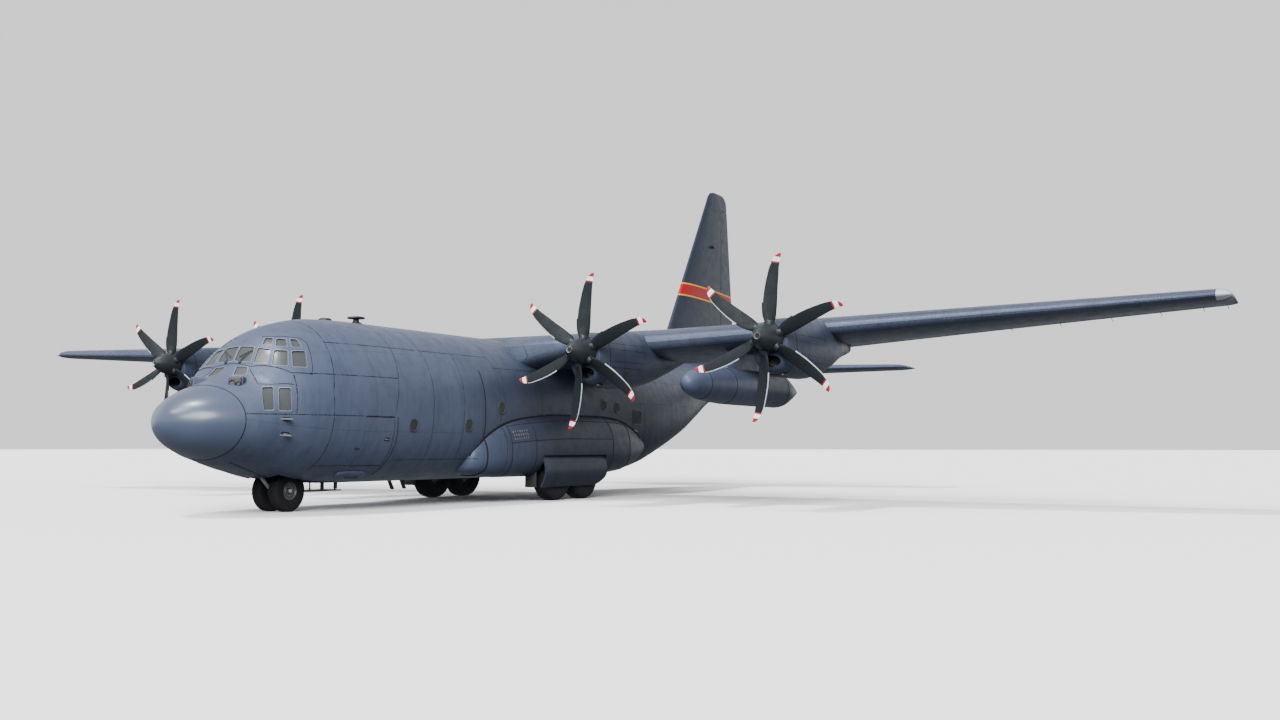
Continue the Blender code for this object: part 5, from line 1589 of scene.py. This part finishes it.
def makeWipers():
    arm = tubeAlong("wiperArm", [skinPoint(0.22, 1.96, 3.50, 0.030), skinPoint(0.32, 2.02, 3.62, 0.032),
                                 skinPoint(0.43, 2.10, 3.74, 0.026)], 0.011, 8)
    fitPair(arm, blackFittingAndRecessShade)
    blade = tubeAlong("wiperBlade", [skinPoint(0.14, 2.00, 3.58, 0.016),
                                     skinPoint(0.30, 2.05, 3.67, 0.018),
                                     skinPoint(0.44, 2.12, 3.77, 0.016)], 0.009, 8)
    fitPair(blade, blackFittingAndRecessShade)
    pivot = lathe("wiperPivot", [(0.0, -0.04), (0.045, -0.04), (0.045, 0.015), (0.030, 0.034),
                                 (0.0, 0.036)], 20)
    fitPair(setOnSkin(pivot, 0.22, 1.95, 3.47), blackFittingAndRecessShade)


def makeRoundWindows():
    for number, (station, height) in enumerate(fittings["roundWindows"], 1):
        rim = lathe(f"roundWindowRim{number}", [(0.135, -0.03), (0.178, -0.03), (0.178, 0.004),
                                                (0.166, 0.012), (0.144, 0.012), (0.135, 0.004)],
                    40, True)
        fitPair(setOnSkin(rim, 2.0, station, height), frameDull)
        pane = lathe(f"roundWindowPane{number}", [(0.0, -0.02), (0.138, -0.02), (0.138, 0.003),
                                                  (0.08, 0.006), (0.0, 0.007)], 40)
        fitPair(setOnSkin(pane, 2.0, station, height), paneDull, "window_glass")


def makeDoorFittings():
    rim = plateFrom("paraWindowRim", roundedOutline(0.58, 0.50, 0.09), -0.03, 0.012, 0.006)
    fitPair(setOnSkin(rim, 2.0, 17.20, 2.50), frameDull)
    pane = plateFrom("paraWindowPane", roundedOutline(0.50, 0.42, 0.07), -0.02, 0.018, 0.004)
    fitPair(setOnSkin(pane, 2.0, 17.20, 2.50), paneDull, "window_glass")
    # painted shade: a near-black plate stands for the handle's recess
    recess = plateFrom("paraHandleRecess", roundedOutline(0.34, 0.24, 0.09), -0.03, 0.006, 0.003)
    fitPair(setOnSkin(recess, 2.0, 17.08, 2.08), blackFittingAndRecessShade)
    grip = tubeAlong("paraHandle", [skinPoint(2.0, 16.98, 2.10, 0.01),
                                    skinPoint(2.0, 17.02, 2.10, 0.045),
                                    skinPoint(2.0, 17.12, 2.07, 0.045),
                                    skinPoint(2.0, 17.16, 2.06, 0.01)], 0.014, 8)
    fitPair(grip, bareMetal)
    front, rear = crewDoor["front"], crewDoor["rear"]
    # painted shade: a near-black plate stands for the handle's recess
    handle = plateFrom("crewDoorRecess", roundedOutline(0.20, 0.09, 0.035), -0.03, 0.005, 0.002)
    fit(setOnSkin(handle, 2.0, rear - 0.20, 1.76), blackFittingAndRecessShade, "hull_paint", "crew_door")
    bar = tubeAlong("crewDoorHandle", [skinPoint(2.0, rear - 0.27, 1.76, 0.0),
                                       skinPoint(2.0, rear - 0.25, 1.76, 0.020),
                                       skinPoint(2.0, rear - 0.15, 1.76, 0.020),
                                       skinPoint(2.0, rear - 0.13, 1.76, 0.0)], 0.009, 8)
    fit(bar, bareMetal, "hull_paint", "crew_door")
    # painted shade: a near-black plate stands for the step notch
    step = plateFrom("doorNotch", roundedOutline(0.16, 0.035, 0.012), -0.02, 0.010, 0.004)
    fitPair(setOnSkin(step, 2.0, front - 0.10, 1.47), blackFittingAndRecessShade)
    blister = []
    for share in [i / 16 for i in range(17)]:
        swell = math.sin(math.pi * share) ** 0.5
        ring = []
        for i in range(24):
            angle = math.tau * i / 24
            ring.append(Vector((0.46 * -math.cos(math.pi * share),
                                0.15 * swell * math.cos(angle),
                                0.075 * swell * math.sin(angle))) * halfSize)
        blister.append(ring)
    fairing = stackedRings("doorFairing", blister)
    fit(setOnSkin(fairing, 1.35, 4.42, 0.90, 0.0, 3), hullPaint)
    # painted shade: a near-black plate stands for the slot in the fairing
    slot = plateFrom("doorFairingSlot", roundedOutline(0.42, 0.07, 0.034), 0.03, 0.078, 0.01)
    fit(setOnSkin(slot, 1.30, 4.50, 0.88, 0.0, 3), blackFittingAndRecessShade)


def makeAerials():
    roof = hullHeight(6.10, 0.0)
    stem = turnedUp("mushroomStem", [(0.0, -0.06), (0.16, -0.06), (0.15, 0.02), (0.085, 0.05),
                                     (0.075, 0.12), (0.10, 0.15), (0.0, 0.15)], 0.0, 6.10, roof, 28)
    fit(stem, blackFittingAndRecessShade)
    cap = turnedUp("mushroomCap", [(0.0, 0.135), (0.22, 0.135), (0.235, 0.150), (0.22, 0.175),
                                   (0.12, 0.195), (0.0, 0.20)], 0.0, 6.10, roof, 40)
    fit(cap, blackFittingAndRecessShade)
    low = turnedUp("lowAerial", [(0.0, -0.05), (0.17, -0.05), (0.165, 0.03), (0.12, 0.055),
                                 (0.0, 0.06)], 0.0, 4.95, hullHeight(4.95, 0.0), 32)
    fit(low, blackFittingAndRecessShade)
    for number, station in enumerate((18.4, 21.6), 1):
        fin = plateFrom(f"roofAerial{number}", bladeOutline(0.34, 0.05), -0.04, 0.26, 0.004)
        slantUp(fin, 0.35)
        fin.data.transform(Matrix.Translation(spot(0, station, hullHeight(station, 0.0))))
        fit(fin, hullPaint)
    beacon = turnedUp("roofBeacon", [(0.0, -0.04), (0.09, -0.04), (0.09, 0.04), (0.07, 0.10),
                                     (0.035, 0.14), (0.0, 0.15)], 0.0, 15.4, hullHeight(15.4, 0.0), 28)
    fit(beacon, beaconRed)
    under = hullHeight(4.94, fittings["bellyHalf"], 0.0, True)
    for number, station in enumerate(fittings["pegs"], 1):
        peg = plateFrom(f"bellyPeg{number}", bladeOutline(0.13, 0.045), -0.04, 0.16, 0.004)
        peg.data.transform(Matrix.Translation(spot(0.0, station, under))
                           @ Matrix.Scale(-1, 4, Vector((0, 0, 1))))
        peg.data.flip_normals()
        fit(peg, blackFittingAndRecessShade)
    for number, station in enumerate(fittings["blades"], 1):
        fin = plateFrom(f"bellyAerial{number}", bladeOutline(0.16, 0.040), -0.06, 0.24, 0.004)
        slantUp(fin, 0.75)
        fin.data.transform(Matrix.Translation(spot(0.0, station, under))
                           @ Matrix.Scale(-1, 4, Vector((0, 0, 1))))
        fin.data.flip_normals()
        fit(fin, blackFittingAndRecessShade)


def bladeOutline(length, width):
    # a slim lens, long in the direction of flight
    return [(width / 2 * math.sin(math.tau * i / 24), -length / 2 * math.cos(math.tau * i / 24))
            for i in range(24)]


def slantUp(piece, lean):
    for vertex in piece.data.vertices:
        vertex.co.y += max(0.0, vertex.co.z) * lean


def turnedUp(name, outline, x, station, height, sides=32):
    piece = lathe(name, outline, sides)
    piece.data.transform(Matrix.Translation(spot(x, station, height)))
    return piece


gearDoor = {"heights": (1.30, 0.41), "play": 0.01, "reach": 2.50, "bulge": 0.15,
            "cutaway": 0.45, "thick": 0.045, "steps": (14, 24), "arms": (11.5, 12.7, 13.9)}
# Joints on a sponson: the front one, ribs at a station, and lines along it at an angle
sponsonJoints = {
    "from": 8.46, "to": 17.5, "step": 0.16, "creaseShade": 0.038, "front": (8.86, 0.022),
    "ribs": (9.72, 10.70, 14.85, 16.10), "rib": 0.010,
    "lines": ((9.72, 14.85, 12), (9.72, 16.1, 48)), "line": 0.009,
    "grille": (9.86, 0.09, 3, 7),
}


def makeGearDoors():
    # a thin curved plate that hangs beside the wheels, cut away at its rear foot
    top, foot = gearDoor["heights"]
    first, last = sponson["well"][0] + gearDoor["play"], sponson["well"][1] - gearDoor["play"]
    steps, along = gearDoor["steps"]
    lines = []
    for step in range(steps + 1):
        share = step / steps
        height = top + (foot - top) * share
        reach = gearDoor["reach"] + gearDoor["bulge"] * math.sin(math.pi * share) - 0.03 * share
        rear = last - gearDoor["cutaway"] * max(0.0, (share - 0.62) / 0.38) ** 2
        lines.append([spot(reach, first + (rear - first) * i / along, height)
                      for i in range(along + 1)])
    door = openStrip("mainGearDoorLeft", lines)
    applyModifier(door, "SOLIDIFY", thickness=gearDoor["thick"] * halfSize, offset=0.0)
    dress(door, hullPaint)
    smoothEdges(door, 30)
    twin = mirroredCopy(door, "mainGearDoorRight")
    keepPiece(door, "airframe", "hull_paint", "main_gear_door_left")
    keepPiece(twin, "airframe", "hull_paint", "main_gear_door_right")
    for number, station in enumerate(gearDoor["arms"], 1):
        arm = tubeAlong(f"gearDoorArm{number}", [(2.47, station, 1.22), (2.50, station, 0.98),
                                                 (2.52, station, 0.80)], 0.028, 10)
        fitPair(arm, gearWhite, "gear_steel")


def sponsonCreaseShade():
    # points where the sponson's top meets the hull, for a dark tube of painted shade along the crease
    points = []
    station = sponsonJoints["from"]
    while station < sponsonJoints["to"]:
        for degrees in range(5, 175):
            x, _, height = sponsonSpot(degrees, station)
            if x <= hullSide(station, height) and height > 1.0:
                points.append((x, station, height))
                break
        station += sponsonJoints["step"]
    return points


def sponsonRing(station, high, low):
    ring = [sponsonSpot(degrees, station) for degrees in range(high, low, -6)]
    return [point for point in ring if point[0] > hullSide(station, point[2]) - 0.02]


def makeSponsonSeamsAndShade():
    # a near-black tube along the crease: a joint, and painted shade where the sponson meets the hull
    creaseShade = tubeAlong("sponsonCreaseShade", sponsonCreaseShade(), sponsonJoints["creaseShade"], 8)
    fitPair(creaseShade, seamDarkAndCreaseShade)
    station, radius = sponsonJoints["front"]
    fitPair(tubeAlong("sponsonFrontSeam", sponsonRing(station, 62, -112), radius, 8), seamDarkAndCreaseShade)
    for number, station in enumerate(sponsonJoints["ribs"], 1):
        ring = sponsonRing(station, 70, -70)
        fitPair(tubeAlong(f"sponsonRib{number}", ring, sponsonJoints["rib"], 6), seamDarkAndCreaseShade)
    for number, (start, end, degrees) in enumerate(sponsonJoints["lines"], 1):
        line = [sponsonSpot(degrees, start + (end - start) * step / 24) for step in range(25)]
        fitPair(tubeAlong(f"sponsonLine{number}", line, sponsonJoints["line"], 6), seamDarkAndCreaseShade)
    # painted shade: rows of near-black tubes stand for the grille's slots
    first, pitch, rows, columns = sponsonJoints["grille"]
    for row in range(rows):
        for number in range(columns):
            station = first + number * pitch
            ends = [sponsonSpot(20 + row * 7, station), sponsonSpot(16 + row * 7, station)]
            slot = tubeAlong(f"sponsonGrille{row + 1}{number + 1}", ends, 0.016, 6)
            fitPair(slot, blackFittingAndRecessShade)
    fence = blockPiece("wheelFence", (1.98, 10.99, 0.40), (2.36, 11.045, 0.90), 0.012)
    fitPair(fence, blackFittingAndRecessShade)
    lamp = turnedPiece("taxiLampBowl", [(-0.04, 0.0), (-0.05, 0.02), (-0.04, 0.034), (0.06, 0.034),
                                        (0.06, 0.0)], (2.20, 10.97, 0.80), "Y", 28)
    fitPair(lamp, lampPale, "window_glass")


# Hub of each nacelle, and the stations of the slot, the vent and the intake's lip
nacelleFittings = {"hubs": {"inner": (5.05, 4.02), "outer": (10.28, 4.16)},
                   "slot": 10.42, "vent": 9.66, "lip": 9.62}


def makeNacelleFittings():
    for place, (x, hub) in nacelleFittings["hubs"].items():
        title = place.title()
        # painted shade: near-black tubes stand for the slots in the cowl
        for side, tag in ((1, "Out"), (-1, "In")):
            slot = []
            for step in range(7):
                degrees = -22 - step * 3.0
                if side < 0:
                    degrees = 180 - degrees
                slot.append(nacelleSpot(degrees, nacelleFittings["slot"] + step * 0.012, x, hub, 0.002))
            fitPair(tubeAlong(f"nacelleSlot{title}{tag}", slot, 0.042, 8), blackFittingAndRecessShade)
        # painted shade: a near-black plate stands for the vent under the cowl
        vent = plateFrom(f"nacelleVent{title}", roundedOutline(0.26, 0.50, 0.10), -0.03, 0.012, 0.004)
        low = nacellePoint(math.radians(-90), nacelleFittings["vent"], x, hub)
        vent.data.transform(Matrix.Translation(low) @ Matrix.Rotation(math.radians(174), 4, "X")
                            @ Matrix.Rotation(math.radians(90), 4, "Z"))
        fitPair(vent, blackFittingAndRecessShade)
        _, _, top, bottom = nacelle["tails"][place][-2]
        middle = hub + (top + bottom) / 2
        pipe = turnedPiece(f"exhaustPipe{title}", [(-0.30, 0.155), (0.20, 0.150), (0.20, 0.132),
                                                   (-0.30, 0.130)], (x, 14.30, middle), "Y", 36)
        fitPair(pipe, engineMetal, "engine_metal")
        # a near-black disc closes the exhaust pipe: soot, and painted shade for the pipe's inside
        sootAndShade = turnedPiece(f"exhaustMouth{title}", [(0.0, 0.0), (0.0, 0.134), (0.01, 0.134),
                                                    (0.01, 0.0)], (x, 14.36, middle), "Y", 36)
        fitPair(sootAndShade, openingShade, "engine_metal")
        ring = [nacelleSpot(degrees, nacelleFittings["lip"], x, hub, -0.003)
                for degrees in range(0, 361, 10)]
        fitPair(tubeAlong(f"lipSeam{title}", ring, 0.008, 6), seamDarkAndCreaseShade)
    print("nacelle fittings made")


def makeRootFairing():
    # the wing's leading edge swells where it meets the hull
    rings = []
    for step in range(13):
        x = 0.95 + 2.35 * step / 12
        swell = (1 - max(0.0, (x - 1.5) / 1.8)) ** 1.6
        _, _, chord, thick, _, _ = straightRow(wing["rows"], x)
        ring = []
        for aft, up in foilLoop(chord, thick, wing["camber"]):
            share = aft / chord
            if share > 0.52:
                continue
            near = max(0.0, 1 - share / 0.50)
            up += 0.012 if up > 0 else -(0.015 + 0.30 * swell * near ** 0.5)
            aft -= 0.42 * swell * near ** 2 + 0.01
            ring.append(spot(*wingPlace(x, aft / chord, up - 0.10 * swell * near)))
        rings.append(ring)
    fitPair(stackedRings("rootFairing", rings), wingPaint)


def makeNoseGearParts():
    bar = tubeAlong("noseDragBar", [(0.0, 2.86, 0.86), (0.0, 3.12, 0.60), (0.0, 3.34, 0.50)], 0.045, 12)
    fit(bar, gearWhite, "gear_steel", "nose_gear_leg")
    for name, points in (("Upper", [(0, 3.62, 1.10), (0, 3.84, 0.90)]),
                         ("Lower", [(0, 3.84, 0.90), (0, 3.55, 0.62)])):
        link = tubeAlong(f"noseTorqueLink{name}", points, 0.030, 10)
        fit(link, gearWhite, "gear_steel", "nose_gear_leg")
    lamp = turnedPiece("noseTaxiLamp", [(-0.05, 0.0), (-0.055, 0.05), (-0.03, 0.075), (0.05, 0.05),
                                        (0.05, 0.0)], (0.0, 3.27, 0.92), "Y", 28)
    fit(lamp, lampPale, "window_glass", "nose_gear_leg")
    for side, hand in ((1, "left"), (-1, "right")):
        for station in wheels["mainStations"]:
            place = "front" if station < 13 else "rear"
            title = f"{place.title()}{hand.title()}"
            elbow = (side * 1.80, station + 0.36, 0.92)
            for name, end in (("Upper", (side * 1.80, station + 0.10, 1.12)),
                              ("Lower", (side * 1.80, station + 0.09, 0.74))):
                link = tubeAlong(f"torqueLink{name}{title}", [end, elbow], 0.034, 10)
                fit(link, gearWhite, "gear_steel")
            sleeve = rodPiece(f"gearCollar{title}", (side * 1.80, station, 1.02),
                              (side * 1.80, station, 1.10), 0.125, None, 32, 0.01)
            fit(sleeve, chromeRod, "gear_steel")
    print("gear parts made")


def makeFittings():
    makeSeams()
    makeSensorBox()
    makeProbes()
    makeWipers()
    makeRoundWindows()
    makeDoorFittings()
    makeAerials()
    makeGearDoors()
    makeSponsonSeamsAndShade()
    makeNacelleFittings()
    makeRootFairing()
    makeNoseGearParts()
    print("hull fittings made")


# Camera, light and floor
studio = {
    "cameraPlace": (11.306, -17.165, 0.783), "cameraTilt": 3.81, "cameraTurn": 29.06,
    "lens": 36.28, "floorSize": 500, "floorColour": (0.93, 0.93, 0.93),
    "backdrop": (0.60, 0.60, 0.60), "backdropStrength": 1.95, "sunStrength": 2.7,
    "underside": (0.14, 0.147, 0.16), "overhead": (0.26, 0.26, 0.27), "sunTurn": (12, -16, 0),
    "sunSize": 0.07,
    "fills": [("sideFill", (61, 0, 25), 6.4, 0.6), ("bowFill", (39, 0, -29), 1.8, 0.4)],
}


def makeStudio():
    scene = bpy.context.scene
    clearSelection()
    bpy.ops.object.camera_add(location=studio["cameraPlace"],
                              rotation=(math.radians(90 + studio["cameraTilt"]), 0,
                                        math.radians(studio["cameraTurn"])))
    camera = bpy.context.active_object
    camera.name = "photoCamera"
    camera.data.sensor_width = 36
    camera.data.lens = studio["lens"]
    camera.data.clip_end = 2000
    scene.camera = camera
    clearSelection()
    bpy.ops.mesh.primitive_plane_add(size=studio["floorSize"])
    floor = nameActive("paleFloor")
    material, tree, shader = newMaterial("floorWhite", 0.9)
    mottle = noise(tree, placeOn(tree), 0.4, 3.0)
    tree.links.new(mixed(tree, ramp(tree, mottle, 0.3, 0.7, 0.0, 0.04), studio["floorColour"],
                         [part * 0.93 for part in studio["floorColour"]]),
                   shader.inputs["Base Color"])
    dress(floor, material)
    floor.visible_diffuse = False
    floor.visible_glossy = False
    for name, turn, strength, size in studio["fills"]:
        bpy.ops.object.light_add(type="SUN", rotation=[math.radians(a) for a in turn])
        fill = bpy.context.active_object
        fill.name = name
        fill.data.energy = strength
        fill.data.angle = size
    bpy.ops.object.light_add(type="SUN", rotation=[math.radians(a) for a in studio["sunTurn"]])
    sun = bpy.context.active_object
    sun.name = "softSun"
    sun.data.energy = studio["sunStrength"]
    sun.data.angle = studio["sunSize"]
    world = bpy.data.worlds.new("paleBackdrop")
    scene.world = world
    world.use_nodes = True
    background = world.node_tree.nodes["Background"]
    sky = world.node_tree
    way = addNode(sky, "ShaderNodeTexCoord").outputs["Generated"]
    rise = addNode(sky, "ShaderNodeSeparateXYZ", None, {"Vector": way}).outputs["Z"]
    fade = ramp(sky, rise, -0.06, -0.01)
    wall = mixed(sky, fade, studio["underside"], studio["backdrop"])
    sky.links.new(mixed(sky, ramp(sky, rise, 0.32, 0.62), wall, studio["overhead"]),
                  background.inputs["Color"])
    background.inputs["Strength"].default_value = studio["backdropStrength"]
    print("studio made")


makeHull()
makeGlazing()
makeDoors()
makePropellers()
makeNacelles()
makeSponsons()
makeWheels()
makeWings()
makeTail()
makeTanks()
makeFittings()
dressNodes()
makeStudio()
